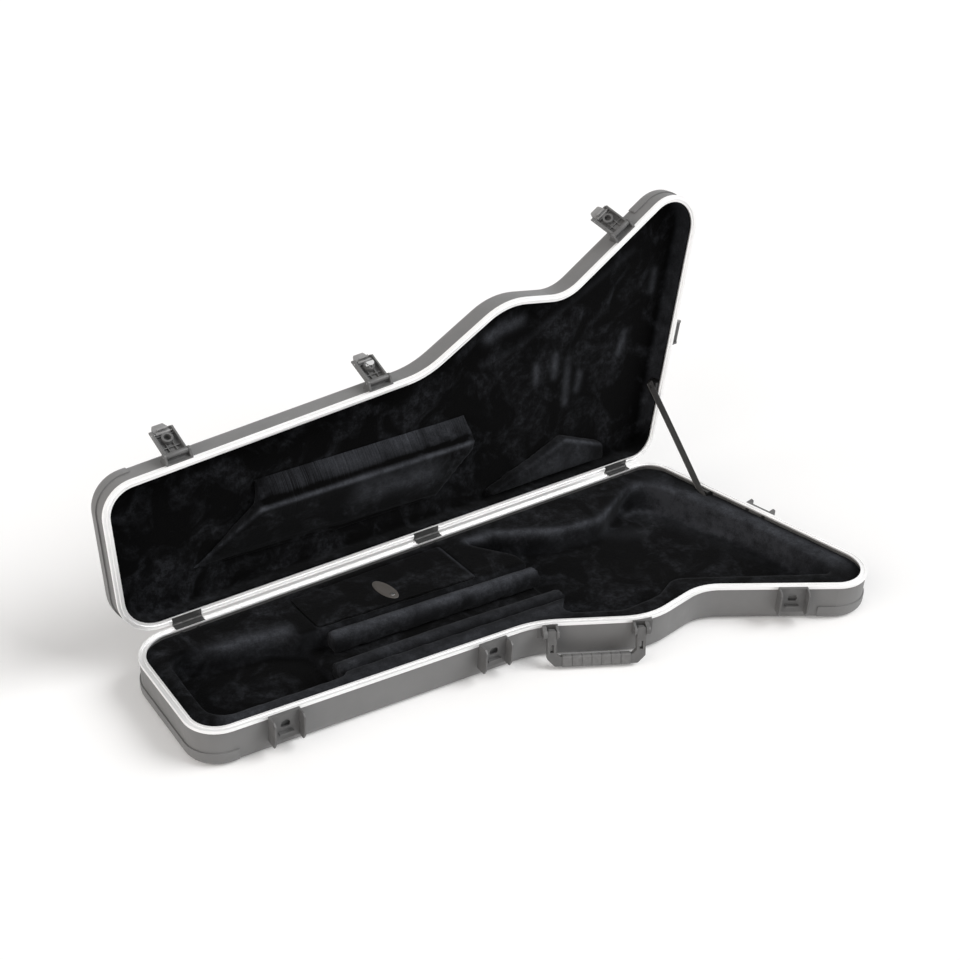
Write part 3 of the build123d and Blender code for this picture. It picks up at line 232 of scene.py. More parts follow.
def to_rest(points, lid):
    """Points of the case's own frame to where they are at rest, in metres."""
    points = np.asarray(points, float)
    turned = points @ OPEN_TURN.T if lid else points
    return (turned + HINGE_AT) * MM


def linear(display):
    """A grey or colour given as it shows on screen, from 0 to 255, as linear light."""
    levels = display if isinstance(display, tuple) else (display,) * 3
    scaled = [level / 255 for level in levels]
    return tuple(s / 12.92 if s <= 0.04045 else ((s + 0.055) / 1.055) ** 2.4 for s in scaled)


# Finishes


class Finish:
    """A material whose patterns are laid out in the piece's own space, in metres."""

    def __init__(self, name, roughness, **sockets):
        self.material = bpy.data.materials.new(name)
        self.material.use_nodes = True
        self.tree = self.material.node_tree
        self.shader = self.tree.nodes["Principled BSDF"]
        self.shader.inputs["Roughness"].default_value = roughness
        for socket, value in sockets.items():
            self.shader.inputs[socket.replace("_", " ")].default_value = value
        self.place = self.node("ShaderNodeTexCoord").outputs["Object"]
        self.normal = None

    def node(self, kind, **settings):
        made = self.tree.nodes.new(kind)
        for name, value in settings.items():
            setattr(made, name, value)
        return made

    def feed(self, socket, value):
        """Links an output to a socket, or sets the socket where the value is plain."""
        if isinstance(value, bpy.types.NodeSocket):
            self.tree.links.new(value, socket)
        else:
            socket.default_value = value

    def stretched(self, per_metre):
        """The piece's own space, scaled along each axis."""
        mapping = self.node("ShaderNodeMapping")
        mapping.inputs["Scale"].default_value = per_metre
        self.feed(mapping.inputs["Vector"], self.place)
        return mapping.outputs["Vector"]

    def noise(self, per_metre, detail=3.0, rough=0.55, distortion=0.0):
        """Cloudy noise, drawn out where its fineness is given for each axis."""
        is_drawn_out = isinstance(per_metre, tuple)
        made = self.node("ShaderNodeTexNoise")
        self.feed(made.inputs["Vector"], self.stretched(per_metre) if is_drawn_out else self.place)
        made.inputs["Scale"].default_value = 1.0 if is_drawn_out else per_metre
        made.inputs["Detail"].default_value = detail
        made.inputs["Roughness"].default_value = rough
        made.inputs["Distortion"].default_value = distortion
        return made.outputs["Fac"]

    def cells(self, per_metre, feature="F1"):
        made = self.node("ShaderNodeTexVoronoi", feature=feature)
        self.feed(made.inputs["Vector"], self.place)
        made.inputs["Scale"].default_value = per_metre
        return made.outputs["Distance"]

    def painted(self, name):
        """A value stored on the mesh."""
        return self.node("ShaderNodeAttribute", attribute_name=name).outputs["Fac"]

    def spread(self, value, limits, to=(0.0, 1.0)):
        """Maps a value from one range to another, held at its ends."""
        made = self.node("ShaderNodeMapRange")
        self.feed(made.inputs["Value"], value)
        made.inputs["From Min"].default_value, made.inputs["From Max"].default_value = limits
        made.inputs["To Min"].default_value, made.inputs["To Max"].default_value = to
        return made.outputs["Result"]

    def math(self, operation, first, second=0.0):
        made = self.node("ShaderNodeMath", operation=operation)
        self.feed(made.inputs[0], first)
        self.feed(made.inputs[1], second)
        return made.outputs["Value"]

    def blend(self, amount, first, second):
        """A colour between two others."""
        made = self.node("ShaderNodeMix", data_type="RGBA")
        self.feed(made.inputs[0], amount)
        for index, value in ((MIX_FIRST, first), (MIX_SECOND, second)):
            is_plain = not isinstance(value, bpy.types.NodeSocket)
            self.feed(made.inputs[index], (*value, 1.0) if is_plain else value)
        return made.outputs[MIX_RESULT]

    def tone(self, name, amount):
        """A colour between the darker and the lighter tone of that name."""
        dark, light = TONES[name]
        return self.blend(amount, linear(dark), linear(light))

    def colour(self, value):
        self.feed(self.shader.inputs["Base Color"], value)

    def roughness(self, value):
        self.feed(self.shader.inputs["Roughness"], value)

    def bump(self, height, millimetres, strength):
        made = self.node("ShaderNodeBump")
        made.inputs["Strength"].default_value = strength
        made.inputs["Distance"].default_value = millimetres * MM
        self.feed(made.inputs["Height"], height)
        if self.normal:
            self.feed(made.inputs["Normal"], self.normal)
        self.normal = made.outputs["Normal"]
        self.feed(self.shader.inputs["Normal"], self.normal)


def shell_finish():
    """Moulded grey plastic with a fine pebble grain and faint scuffs."""
    finish = Finish("shell_plastic", roughness=0.5)
    cloud = finish.spread(finish.noise(per_metre=9.0, detail=4.0), (0.3, 0.7))
    scuffs = finish.noise(per_metre=(60.0, 60.0, 260.0), detail=5.0, rough=0.7)
    scuffed = finish.math("MULTIPLY", finish.spread(scuffs, (0.62, 0.78)), SCUFF_SHARE)
    polish = finish.noise(per_metre=40.0, detail=4.0)
    finish.colour(finish.blend(scuffed, finish.tone("shell", cloud), linear(SCUFF_TONE)))
    finish.roughness(finish.spread(polish, (0.2, 0.8), to=(0.42, 0.6)))
    finish.bump(finish.cells(per_metre=900.0), millimetres=0.12, strength=0.6)
    finish.bump(finish.noise(per_metre=35.0, detail=2.0), millimetres=0.4, strength=0.25)
    return finish.material


def rim_finish():
    """Bright satin metal, drawn lengthwise, with hairline scratches."""
    finish = Finish("rim_metal", roughness=0.36, Metallic=0.5)
    cloud = finish.spread(finish.noise(per_metre=14.0), (0.3, 0.7))
    lines = finish.noise(per_metre=(12.0, 900.0, 900.0), rough=0.6)
    finish.colour(finish.tone("rim", cloud))
    finish.roughness(finish.spread(lines, (0.2, 0.8), to=(0.3, 0.44)))
    finish.bump(lines, millimetres=0.05, strength=0.4)
    return finish.material


def hinge_finish():
    """Black enamel on steel, a little orange-peeled, worn to metal at spots."""
    finish = Finish("hinge_enamel", roughness=0.4)
    wear = finish.spread(finish.noise(per_metre=210.0, detail=5.0, rough=0.7), (0.66, 0.74))
    finish.colour(finish.tone("enamel", wear))
    finish.roughness(finish.spread(finish.noise(per_metre=120.0), (0.2, 0.8), to=(0.34, 0.55)))
    finish.bump(finish.noise(per_metre=420.0, detail=2.0), millimetres=0.15, strength=0.35)
    return finish.material


def steel_finish():
    """Plain bright steel with turned marks."""
    finish = Finish("pin_steel", roughness=0.28, Metallic=1.0)
    marks = finish.noise(per_metre=1400.0)
    finish.colour(finish.tone("steel", marks))
    finish.roughness(finish.spread(marks, (0.2, 0.8), to=(0.2, 0.4)))
    finish.bump(marks, millimetres=0.03, strength=0.5)
    return finish.material


def nylon_finish(kind):
    """Moulded nylon with a spark-eroded grain and flow marks."""
    finish = Finish(f"{kind}_nylon", roughness=0.45)
    cloud = finish.spread(finish.noise(per_metre=55.0, detail=4.0), (0.3, 0.7))
    grain = finish.noise(per_metre=1500.0, rough=0.6)
    finish.colour(finish.tone(kind, cloud))
    finish.roughness(finish.spread(grain, (0.3, 0.7), to=(0.36, 0.54)))
    finish.bump(grain, millimetres=0.06, strength=0.7)
    finish.bump(finish.noise(per_metre=90.0, detail=2.0), millimetres=0.25, strength=0.2)
    return finish.material


def lock_finish():
    """Polished plating with fine haze."""
    finish = Finish("lock_chrome", roughness=0.16, Metallic=1.0)
    haze = finish.noise(per_metre=600.0, detail=4.0)
    finish.colour(finish.tone("lock", haze))
    finish.roughness(finish.spread(haze, (0.3, 0.7), to=(0.1, 0.24)))
    return finish.material


def grip_finish():
    """Matte rubber with a dusty bloom."""
    finish = Finish("grip_rubber", roughness=0.7)
    bloom = finish.spread(finish.noise(per_metre=150.0, detail=5.0), (0.35, 0.75))
    finish.colour(finish.tone("grip", bloom))
    finish.roughness(finish.spread(bloom, (0.0, 1.0), to=(0.58, 0.8)))
    finish.bump(finish.cells(per_metre=1600.0), millimetres=0.1, strength=0.6)
    return finish.material


def webbing_finish():
    """Flat woven webbing: ribs across the strap and a twill along it."""
    finish = Finish("strap_webbing", roughness=0.75, Sheen_Weight=0.3, Sheen_Roughness=0.5)
    along = finish.painted("along")
    ribs = finish.math("SINE", finish.math("MULTIPLY", along, RIBS_ALONG))
    run = finish.math("MULTIPLY", along, TWILL_ALONG)
    lean = finish.math("MULTIPLY", finish.painted("across"), TWILL_ACROSS)
    twill = finish.math("SINE", finish.math("ADD", run, lean))
    weave = finish.spread(finish.math("ADD", ribs, twill), (-2.0, 2.0))
    finish.colour(finish.tone("webbing", weave))
    finish.bump(weave, millimetres=0.3, strength=0.8)
    return finish.material


def plush_finish():
    """Short black pile, brushed this way and that, streaked where it was combed, with painted sheen
    where the mesh stores it.
    """
    finish = Finish(
        "plush_pile",
        roughness=0.95,
        Sheen_Weight=0.04,
        Sheen_Roughness=0.5,
        Sheen_Tint=(0.9, 0.94, 1.0, 1.0),
        Specular_IOR_Level=0.03,
    )
    clouds = finish.noise(per_metre=15.0, detail=5.0, rough=0.6, distortion=0.8)
    brushed = finish.math("MULTIPLY", finish.spread(clouds, (0.46, 0.72)), PATCH_LIFT)
    tuft_noise = finish.noise(per_metre=80.0, detail=4.0, rough=0.7)
    patches = finish.math("MULTIPLY", brushed, finish.spread(tuft_noise, (0.4, 0.68), to=(0.25, 1.6)))
    lay = finish.noise(per_metre=38.0, detail=5.0, rough=0.68)
    # Painted sheen: highlights and lit walls stored on the mesh, broken up by noise
    painted_sheen = finish.math("MULTIPLY", finish.painted("painted_sheen"), finish.spread(lay, (0.3, 0.7), to=(0.45, 1.3)))
    streaks = finish.noise(per_metre=(620.0, 12.0, 12.0), detail=2.0, rough=0.6)
    combed = finish.math("MULTIPLY", finish.spread(streaks, (0.3, 0.7)), finish.painted("streaks"))
    streaked = finish.math("MULTIPLY", combed, STREAK_LIFT)
    lift = finish.math("ADD", finish.math("ADD", patches, painted_sheen), streaked)
    pile = finish.noise(per_metre=430.0, rough=0.7)
    depth = finish.spread(pile, (0.3, 0.72), to=(1.0, 0.5))
    finish.colour(finish.tone("pile", finish.math("MULTIPLY", lift, depth)))
    finish.bump(finish.noise(per_metre=60.0, rough=0.6), millimetres=1.4, strength=0.4)
    finish.bump(pile, millimetres=0.8, strength=0.8)
    return finish.material


def tab_finish():
    """Worn grey-brown plastic leather."""
    finish = Finish("tab_leather", roughness=0.45)
    creases = finish.cells(per_metre=700.0, feature="DISTANCE_TO_EDGE")
    cloud = finish.noise(per_metre=220.0, detail=4.0)
    finish.colour(finish.tone("tab", cloud))
    finish.roughness(finish.spread(cloud, (0.2, 0.8), to=(0.38, 0.6)))
    finish.bump(finish.spread(creases, (0.0, 0.25)), millimetres=0.12, strength=0.5)
    return finish.material


FINISHES = {
    "shell": shell_finish(),
    "rim": rim_finish(),
    "hinge": hinge_finish(),
    "steel": steel_finish(),
    "fitting": nylon_finish("fitting"),
    "trigger": nylon_finish("trigger"),
    "lock": lock_finish(),
    "grip": grip_finish(),
    "webbing": webbing_finish(),
    "plush": plush_finish(),
    "tab": tab_finish(),
}


def dress(obj, finish):
    obj.data.materials.clear()
    obj.data.materials.append(finish)


def finish_frame():
    """Gives every CAD node the finish of its slot, and the strap's anchors a darker nylon."""
    for subpart in frame["record"]["subparts"]:
        dress(NODES[subpart["node"]], FINISHES[subpart["material_slot"]])
    anchor_nylon = nylon_finish("anchor")
    dress(NODES["strap_anchor_base"], anchor_nylon)
    dress(NODES["strap_anchor_lid"], anchor_nylon)


def soften_edges(node, width, sharp):
    """Rounds the edges of a hard node that turn by more than the sharp angle."""
    obj = NODES[node]
    weld = obj.modifiers.new("weld", "WELD")
    weld.merge_threshold = WELD_WITHIN * MM
    bevel = obj.modifiers.new("edges", "BEVEL")
    bevel.width = width * MM
    bevel.segments = EDGE_SEGMENTS
    bevel.limit_method = "ANGLE"
    bevel.angle_limit = math.radians(sharp)
    bevel.use_clamp_overlap = True
    bevel.miter_outer = "MITER_ARC"


def soften_hard_nodes():
    for kind, width in LATCH_EDGES.items():
        for name in LATCHES:
            soften_edges(f"{kind}_{name}", width, FITTING_SHARP)
    for kind, width in HINGE_EDGES.items():
        for name in HINGES:
            soften_edges(f"{kind}_{name}", width, FITTING_SHARP)
    for node, width in FITTING_EDGES.items():
        soften_edges(node, width, FITTING_SHARP)
    for node, width in SHELL_EDGES.items():
        soften_edges(node, width, SHELL_SHARP)


# Meshes


def link(obj):
    bpy.context.scene.collection.objects.link(obj)
    return obj


def applied(obj):
    """The object's mesh with its modifiers applied."""
    depsgraph = bpy.context.evaluated_depsgraph_get()
    depsgraph.update()
    evaluated = obj.evaluated_get(depsgraph)
    mesh = bpy.data.meshes.new_from_object(evaluated)
    obj.modifiers.clear()
    old = obj.data
    obj.data = mesh
    bpy.data.meshes.remove(old)
    return obj


def points_of(obj):
    points = np.empty(len(obj.data.vertices) * 3)
    obj.data.vertices.foreach_get("co", points)
    return points.reshape(-1, 3)


def move_points(obj, points):
    obj.data.vertices.foreach_set("co", points.ravel())
    obj.data.update()


def normals_of(obj):
    normals = np.empty(len(obj.data.vertices) * 3)
    obj.data.vertices.foreach_get("normal", normals)
    return normals.reshape(-1, 3)


def shade_smooth(obj):
    for polygon in obj.data.polygons:
        polygon.use_smooth = True


def store(obj, name, values):
    """Keeps a value for each point on the mesh, for its finish."""
    attribute = obj.data.attributes.get(name) or obj.data.attributes.new(name, "FLOAT", "POINT")
    attribute.data.foreach_set("value", np.asarray(values, np.float32))


def even_copy(node, name, voxel):
    """A copy of a soft CAD solid with an even mesh."""
    obj = link(bpy.data.objects.new(name, NODES[node].data.copy()))
    remesh = obj.modifiers.new("remesh", "REMESH")
    remesh.mode = "VOXEL"
    remesh.voxel_size = voxel * MM
    remesh.use_smooth_shade = True
    return applied(obj)


def relax(obj, rounds):
    """Rounds a form by drawing each point toward its neighbours."""
    smooth = obj.modifiers.new("smooth", "SMOOTH")
    smooth.iterations = rounds
    smooth.factor = RELAX_FACTOR
    return applied(obj)


def subdivided(obj):
    subdivide = obj.modifiers.new("subdivide", "SUBSURF")
    subdivide.levels = 1
    subdivide.render_levels = 1
    return applied(obj)


def stand_in(obj, body, nodes, slot):
    """Puts a soft piece in the place of its CAD nodes."""
    dress(obj, FINISHES[slot])
    shade_smooth(obj)
    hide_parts(*nodes)
    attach(obj, body)


# Strokes that shape a cover or lay its pile


def folds(points, per_metre, seed):
    """A smooth value from -1 to 1 for each point."""
    shift = Vector([seed * step for step in SEED_SHIFT])
    return np.array([noise.noise(Vector(point) * per_metre + shift) for point in points])


def along_path(points, path):
    """Distance of each point from a path of straight runs, and how far along it lies."""
    nearest = np.full(len(points), np.inf)
    reached = np.zeros(len(points))
    length = 0.0
    for start, end in zip(path, path[1:]):
        start, run = np.array(start, float), np.subtract(end, start).astype(float)
        share = np.clip((points - start) @ run / (run @ run), 0, 1)
        gap = np.linalg.norm(points - start - share[:, None] * run, axis=1)
        closer = gap < nearest
        nearest = np.where(closer, gap, nearest)
        reached = np.where(closer, length + share * np.linalg.norm(run), reached)
        length += np.linalg.norm(run)
    return nearest, reached


def stroke(path, wide, lift):
    """Lifts what lies along a path, or sinks it where lift is negative, fading over the width."""
    def lifted(points):
        gap, _ = along_path(points, path)
        return lift * np.exp(-((gap / wide) ** 2))
    return lifted


def puckers(path, wide, pitch, lift):
    """Small gathers across a path, as where a cover is drawn over an edge."""
    def lifted(points):
        gap, reached = along_path(points, path)
        sway = folds(points * MM, SWAY_PER_METRE, pitch)
        wave = np.sin(2 * math.pi * (reached / pitch + SWAY * sway))
        return lift * wave * np.exp(-((gap / wide) ** 2))
    return lifted


def hollows(per_metre, depth, seed):
    """Soft unevenness of padding, never past the first shape."""
    def lifted(points):
        return (folds(points * MM, per_metre, seed) - 1.0) * depth
    return lifted


def raised(lift):
    """Moves the whole surface out."""
    def lifted(points):
        return np.full(len(points), lift)
    return lifted


def sculpt(obj, lid, *strokes):
    """Moves each point along its normal by what the strokes add up to, in millimetres."""
    points = points_of(obj)
    place = to_case(points, lid)
    push = sum(lifted(place) for lifted in strokes)
    move_points(obj, points + normals_of(obj) * (push * MM)[:, None])


def paint_sheen_and_streaks(obj, lid, painted_sheen=(), streaks=(), wall_light=0.0):
    """Stores painted sheen on the pile: painted highlights along the strokes and painted light on
    walls, and combed streaks.
    """
    place = to_case(points_of(obj), lid)
    upright = normals_of(obj) @ (OPEN_TURN if lid else np.eye(3))
    # Walls that face sideways are painted lighter, as lit, except near the hinge axis
    off_hinge = np.clip((-place[:, 1] - WALL_LIGHT_FROM) / WALL_LIGHT_FADE, 0, 1)
    painted_wall_light = wall_light * off_hinge * (1.0 - upright[:, 2] ** 2)
    none = np.zeros(len(place))
    store(obj, "painted_sheen", sum((lifted(place) for lifted in painted_sheen), painted_wall_light))
    store(obj, "streaks", np.clip(sum((lifted(place) for lifted in streaks), none), 0, 1))


def inflated(obj, cap):
    """Blows a closed form up as a stuffed cover, moving no point more than the cap."""
    first = points_of(obj)
    cloth = obj.modifiers.new("cover", "CLOTH")
    for name, value in COVER_CLOTH.items():
        setattr(cloth.settings, name, value)
    cloth.settings.effector_weights.gravity = 0.0
    cloth.collision_settings.use_collision = False
    for step in range(1, COVER_FRAMES + 1):
        bpy.context.scene.frame_set(step)
    applied(obj)
    bpy.context.scene.frame_set(1)
    shift = points_of(obj) - first
    length = np.linalg.norm(shift, axis=1)
    share = cap * MM / np.maximum(length, cap * MM)
    move_points(obj, first + shift * share[:, None])


def stuffed(node, name, shrink, cap):
    """A sewn form, blown up a little from a slightly smaller shape."""
    obj = relax(even_copy(node, name, STUFFED_VOXEL), STUFFED_ROUNDS)
    move_points(obj, points_of(obj) - normals_of(obj) * shrink * MM)
    inflated(obj, cap)
    return subdivided(obj)


def lofted(name, rings):
    """A closed form through rings of equally many points, with flat ends."""
    build = bmesh.new()
    rings = [[build.verts.new(place) for place in ring] for ring in rings]
    for ring, following in zip(rings, rings[1:]):
        for index in range(len(ring)):
            after = (index + 1) % len(ring)
            build.faces.new((ring[index], ring[after], following[after], following[index]))
    build.faces.new(rings[0][::-1])
    build.faces.new(rings[-1])
    bmesh.ops.recalc_face_normals(build, faces=build.faces)
    mesh = bpy.data.meshes.new(name)
    build.to_mesh(mesh)
    build.free()
    obj = link(bpy.data.objects.new(name, mesh))
    shade_smooth(obj)
    return obj


# Linings, rolls and pads


def at_height(path, height):
    return [(x, y, height) for x, y in path]


def build_base_lining():
    """Plush over foam in the base, with the head well, the neck trough and the body recess."""
    obj = relax(even_copy("base_padding", "base_lining", LINING_VOXEL), BASE_LINING_ROUNDS)
    back_edge = at_height(
        [(649, -40), (700, -44), (760, -74), (830, -108), (895, -112), (950, -92), (1010, -66)],
        LEDGE - 4,
    )
    back_corner = at_height([(1010, -66), (1044, -58), (1066, -84)], LEDGE - 6)
    foot = at_height(
        [(1004, -74), (1034, -72), (1062, -95), (1080, -141), (1092, -191), (1116, -244)],
        RECESS_FLOOR + 4,
    )
    tail_wall = at_height(
        [(1067, -90), (1100, -173), (1126, -248), (1150, -326), (1182, -440)],
        LEDGE - 19,
    )
    first_tuck = [(1110, -190, -18), (1104, -206, -34), (1094, -218, -50)]
    second_tuck = [(1130, -262, -20), (1120, -266, -44)]
    well_back = at_height([(100, -84), (170, -88), (232, -98)], LEDGE - 5)
    front_ledge = neck_line(20.0, 60, 700, LEDGE)
    floor_patch = at_height([(935, -104), (960, -122), (990, -136)], RECESS_FLOOR)
    sculpt(
        obj,
        False,
        hollows(per_metre=22.0, depth=0.5, seed=1),
        puckers(foot, wide=9.0, pitch=17.0, lift=1.3),
        puckers(back_edge, wide=9.0, pitch=31.0, lift=0.7),
        stroke(first_tuck, wide=4.0, lift=-1.6),
        stroke(second_tuck, wide=4.0, lift=-1.4),
    )
    # Painted highlights along the back edge, its corner, the foot, the well's back and the front ledge,
    # and painted light on the tail wall and a floor patch
    paint_sheen_and_streaks(
        obj,
        False,
        painted_sheen=[
            stroke(back_edge, wide=10.0, lift=1.0),
            stroke(back_corner, wide=12.0, lift=0.7),
            stroke(foot, wide=8.0, lift=0.9),
            stroke(tail_wall, wide=36.0, lift=1.1),
            stroke(well_back, wide=16.0, lift=0.8),
            stroke(front_ledge, wide=20.0, lift=0.5),
            stroke(floor_patch, wide=20.0, lift=0.2),
        ],
        wall_light=0.2,
    )
    stand_in(obj, "base", ["base_padding"], "plush")


def build_lid_lining():
    """Plush over thin foam in the lid, with a fold and strokes brushed into the pile."""
    obj = relax(even_copy("lid_padding", "lid_lining", LINING_VOXEL), LID_LINING_ROUNDS)
    fold = at_height([(739, -280), (823, -296), (875, -324), (944, -356), (1086, -425)], LID_FLOOR)
    brushed = [
        at_height([(862, -216), (864, -242)], LID_FLOOR),
        at_height([(905, -216), (907, -258)], LID_FLOOR),
        at_height([(932, -156), (938, -240)], LID_FLOOR),
        at_height([(960, -176), (966, -204)], LID_FLOOR),
        at_height([(1062, -225), (1075, -262)], LID_FLOOR),
        at_height([(1138, -335), (1144, -372)], LID_FLOOR),
    ]
    highlight = at_height([(752, -330), (790, -342), (822, -346)], LID_FLOOR)
    sculpt(
        obj,
        True,
        hollows(per_metre=18.0, depth=0.6, seed=2),
        stroke(fold, wide=5.0, lift=1.2),
        *[stroke(path, wide=8.0, lift=-0.5) for path in brushed],
    )
    # Brushed strokes, the fold and a highlight are painted lighter as sheen, and walls get painted
    # light
    paint_sheen_and_streaks(
        obj,
        True,
        painted_sheen=[
            *[stroke(path, wide=8.0, lift=0.7) for path in brushed],
            stroke(highlight, wide=12.0, lift=0.9),
            stroke(fold, wide=7.0, lift=0.15),
        ],
        wall_light=0.5,
    )
    stand_in(obj, "lid", ["lid_padding"], "plush")


def neck_point(x, inward, height):
    """A point some way inside the neck's front wall."""
    return (x, NECK_WALL_Y - NECK_WALL_FORWARD * x / NECK_WALL_RUN + inward, height)


def neck_line(inward, start, end, height):
    """A straight run along the neck's front wall, some way inside it."""
    return [neck_point(x, inward, height) for x in (start, end)]


def roll_face(x, front, back):
    """The edge of a roll's end, up its front, over it and down its back."""
    corners = ((front, ROLL_FOOT), (front, ROLL_SHOULDER), (back, ROLL_SHOULDER), (back, ROLL_FOOT))
    return [neck_point(x, inward, height) for inward, height in corners]


def build_roll(node, name, start, inward, crest_sheen):
    """A stuffed roll beside the neck, its cover gathered at the ends."""
    obj = stuffed(node, name, ROLL_SHRINK, ROLL_CAP)
    front, back = inward + ROLL_FRONT_IN, inward + ROLL_BACK_IN
    left_face = roll_face(start, front, back)
    right_face = roll_face(ROLL_END, front, back)
    seam = (start + SEAM_FROM_START, ROLL_END - SEAM_FROM_END)
    front_seam = neck_line(front, *seam, ROLL_FRONT_SEAM)
    back_seam = neck_line(back, *seam, ROLL_BACK_SEAM)
    along_crest = (start + CREST_FROM_START, ROLL_END - CREST_FROM_END)
    crest = neck_line(inward + ROLL_CREST_IN, *along_crest, ROLL_CREST)
    sculpt(
        obj,
        False,
        hollows(per_metre=26.0, depth=0.5, seed=start),
        puckers(left_face, wide=11.0, pitch=8.0, lift=1.0),
        puckers(right_face, wide=8.0, pitch=9.0, lift=0.7),
        stroke(front_seam, wide=2.6, lift=-1.1),
        stroke(back_seam, wide=2.6, lift=-1.1),
    )
    # Painted highlight along the crest and on the left end
    painted_sheen = [stroke(crest, wide=14.0, lift=crest_sheen), stroke(left_face, wide=7.0, lift=0.5)]
    paint_sheen_and_streaks(obj, False, painted_sheen, wall_light=0.1)
    stand_in(obj, "base", [node], "plush")


def build_lid_ridge():
    """The long ridge in the lid, with a rolled crest and a combed front slope."""
    obj = stuffed("lid_neck_pad", "lid_neck_ridge", LID_PAD_SHRINK, LID_PAD_CAP)
    crest = [(262, -153, 7), (700, -153, 7)]
    above = [(262, -163, 12), (700, -163, 12)]
    diagonal = [(131, -60, 39), (262, -153, 7)]
    beside = [(150, -88, 38), (266, -166, 14)]
    right_end = [(694, -262, 36), (704, -153, 7), (668, -94, 22), (630, -38, 39)]
    lower_slope = [(470, -125, 16), (600, -118, 18)]
    upper_slope = [(440, -192, 20), (690, -216, 26)]
    combed = [(330, -188, 20), (690, -216, 26)]
    sculpt(
        obj,
        True,
        hollows(per_metre=24.0, depth=0.5, seed=5),
        stroke(crest, wide=5.0, lift=1.4),
        stroke(above, wide=4.0, lift=-2.0),
        stroke(diagonal, wide=5.0, lift=1.0),
        stroke(beside, wide=6.0, lift=-1.2),
    )
    # Painted highlights on the crest, the diagonal and the right end, painted shade above the crest,
    # and painted light on both slopes
    paint_sheen_and_streaks(
        obj,
        True,
        painted_sheen=[
            stroke(crest, wide=4.0, lift=1.1),
            stroke(above, wide=5.0, lift=-0.5),
            stroke(diagonal, wide=6.0, lift=0.8),
            stroke(right_end, wide=3.5, lift=0.8),
            stroke(lower_slope, wide=24.0, lift=0.9),
            stroke(upper_slope, wide=32.0, lift=0.4),
        ],
        streaks=[stroke(combed, wide=34.0, lift=1.0)],
        wall_light=0.1,
    )
    stand_in(obj, "lid", ["lid_neck_pad"], "plush")


def build_lid_wedge():
    """The low wedge in the lid that holds the guitar's body down."""
    obj = stuffed("lid_body_pad", "lid_body_wedge", LID_PAD_SHRINK, LID_PAD_CAP)
    crest = [(722, -32, 11), (912, -94, 11), (1008, -58, 11)]
    face = [(850, -50, 22), (940, -60, 22)]
    sculpt(
        obj,
        True,
        hollows(per_metre=24.0, depth=0.5, seed=6),
        puckers(crest, wide=7.0, pitch=24.0, lift=0.6),
    )
    # Painted highlight along the crest and painted light on the face
    paint_sheen_and_streaks(obj, True, painted_sheen=[stroke(crest, wide=5.0, lift=0.9), stroke(face, wide=40.0, lift=0.4)])
    stand_in(obj, "lid", ["lid_body_pad"], "plush")


def build_compartment_cover():
    """The plush-covered board over the compartment, its cover turned under at the edges."""
    obj = subdivided(relax(even_copy("box_lid", "compartment_cover", BOARD_VOXEL), BOARD_ROUNDS))
    right_edge = [(590, -30, LEDGE), (590, -145, LEDGE)]
    sculpt(obj, False, hollows(per_metre=16.0, depth=0.2, seed=7), raised(BOARD_COVER))
    # Painted highlight along the right edge
    paint_sheen_and_streaks(obj, False, painted_sheen=[stroke(right_edge, wide=3.0, lift=0.45)])
    stand_in(obj, "compartment_lid", ["box_lid"], "plush")


# Strap and pull tab


def strap_section():
    """The strap's outline: how far across and how far out each point lies."""
    section = []
    for outward in (1, -1):
        for column in range(STRAP_COLUMNS + 1):
            share = (column / STRAP_COLUMNS - 0.5) * outward
            edge = 1.0 - STRAP_EDGE_THINNING * abs(2 * share) ** STRAP_EDGE_POWER
            section.append((share * STRAP_WIDTH, outward * edge * STRAP_THICK / 2))
    return section


def build_strap():
    """A flat band of webbing with soft edges, stretched from the base to the lid."""
    low = to_rest((STRAP_X, STRAP_Y, -STRAP_HOLD), False)
    high = to_rest((STRAP_X, STRAP_Y, STRAP_HOLD), True)
    length = np.linalg.norm(high - low)
    run = (high - low) / length
    face = np.array((1.0, 0.0, 0.0))
    side = np.cross(face, run)
    ends = STRAP_END * MM
    section = strap_section()
    reaches = [-ends + (length + 2 * ends) * row / STRAP_ROWS for row in range(STRAP_ROWS + 1)]
    rings = []
    for reach in reaches:
        bow = STRAP_BOW * math.sin(math.pi * min(max(reach / length, 0.0), 1.0))
        centre = low + run * reach
        rings.append([centre + (side * across + face * (out + bow)) * MM for across, out in section])
    obj = lofted("stay_strap", rings)
    store(obj, "along", np.repeat(reaches, len(section)))
    store(obj, "across", np.tile([across * MM for across, _ in section], len(reaches)))
    dress(obj, FINISHES["webbing"])
    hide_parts("lid_stay_strap")
    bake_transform(obj)


def tab_point(share, height, angle):
    """A point of the tab, lifted to its full thickness round the rivet."""
    x = share * TAB_LENGTH / 2 * math.cos(angle)
    y = share * TAB_WIDTH / 2 * math.sin(angle)
    to_rivet = math.hypot(x - (TAB_LENGTH / 2 - TAB_RIVET_IN), y)
    lift = height + (TAB_THICK - height) * math.exp(-((to_rivet / TAB_RIVET_REACH) ** 2))
    turn = math.radians(TAB_LEAN - 90)
    place = (
        TAB_AT[0] + x * math.cos(turn) - y * math.sin(turn),
        TAB_AT[1] + x * math.sin(turn) + y * math.cos(turn),
        TAB_AT[2] + lift,
    )
    return to_rest(place, False)


def build_tab():
    """A thin oval tab with a rolled edge, a sewn line and a dished grip."""
    angles = [2 * math.pi * index / TAB_SIDES for index in range(TAB_SIDES)]
    rings = [[tab_point(share, height, angle) for angle in angles] for share, height in TAB_PROFILE]
    obj = lofted("cover_pull_tab", rings)
    dress(obj, FINISHES["tab"])
    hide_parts("pull_tab")
    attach(obj, "compartment_lid")


# Floor, light and camera


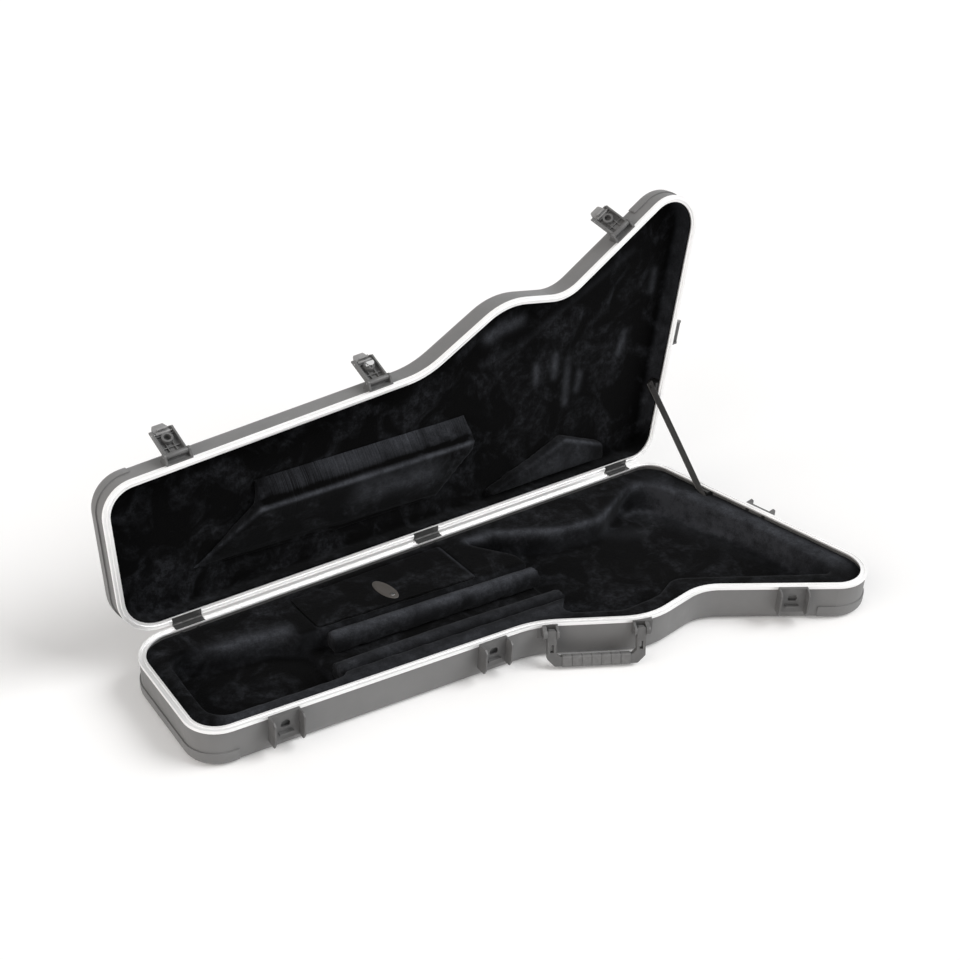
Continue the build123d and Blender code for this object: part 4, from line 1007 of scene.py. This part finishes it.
def seen_ray(tree):
    """1 for a camera ray and for one that the object mirrors or lets through, or else 0."""
    path = tree.nodes.new("ShaderNodeLightPath")
    seen = path.outputs["Is Camera Ray"]
    for kind in ("Is Glossy Ray", "Is Transmission Ray"):
        either = tree.nodes.new("ShaderNodeMath")
        either.operation = "MAXIMUM"
        tree.links.new(seen, either.inputs[0])
        tree.links.new(path.outputs[kind], either.inputs[1])
        seen = either.outputs["Value"]
    return seen


def build_stage():
    bpy.ops.mesh.primitive_grid_add(x_subdivisions=2, y_subdivisions=2, size=FLOOR_SIDE)
    floor = bpy.context.object
    floor.name = "floor"
    finish = Finish("floor_paper", roughness=0.9, Emission_Color=(*WHITE, 1.0))
    finish.colour(finish.tone("floor", finish.noise(per_metre=3.0)))
    glow = finish.spread(seen_ray(finish.tree), (0.0, 1.0), to=(0.0, FLOOR_GLOW))
    finish.feed(finish.shader.inputs["Emission Strength"], glow)
    dress(floor, finish.material)


def add_lamp(name, lamp):
    sun = bpy.data.lights.new(name, "SUN")
    sun.energy = lamp["energy"]
    sun.angle = math.radians(lamp["softness"])
    sun.color = lamp["colour"]
    link(bpy.data.objects.new(name, sun)).rotation_euler = [math.radians(a) for a in lamp["turn"]]


def build_light():
    """A plain dome that is white where it is seen, and two wide lamps."""
    world = bpy.data.worlds.new("studio")
    bpy.context.scene.world = world
    world.use_nodes = True
    tree = world.node_tree
    background = tree.nodes["Background"]
    background.inputs["Color"].default_value = (*WHITE, 1.0)
    strength = tree.nodes.new("ShaderNodeMapRange")
    strength.inputs["To Min"].default_value = DOME
    strength.inputs["To Max"].default_value = 1.0
    tree.links.new(seen_ray(tree), strength.inputs["Value"])
    tree.links.new(strength.outputs["Result"], background.inputs["Strength"])
    add_lamp("key", KEY)
    add_lamp("fill", FILL)


def build_camera():
    data = bpy.data.cameras.new("photo_camera")
    data.sensor_width = CAMERA_SENSOR
    data.lens = CAMERA_LENS
    data.clip_end = CAMERA_REACH
    camera = link(bpy.data.objects.new("photo_camera", data))
    camera.location = CAMERA_AT
    camera.rotation_euler = Euler([math.radians(angle) for angle in CAMERA_TURN], "XYZ")
    bpy.context.scene.camera = camera


bpy.context.scene.view_settings.view_transform = "Standard"
build_camera()
build_light()
build_stage()
finish_frame()
soften_hard_nodes()

build_base_lining()
build_lid_lining()
build_roll("neck_cushion_front", "front_neck_roll", start=253, inward=44.0, crest_sheen=0.45)
build_roll("neck_cushion_rear", "rear_neck_roll", start=283, inward=122.0, crest_sheen=1.15)
build_lid_ridge()
build_lid_wedge()
build_compartment_cover()
build_strap()
build_tab()
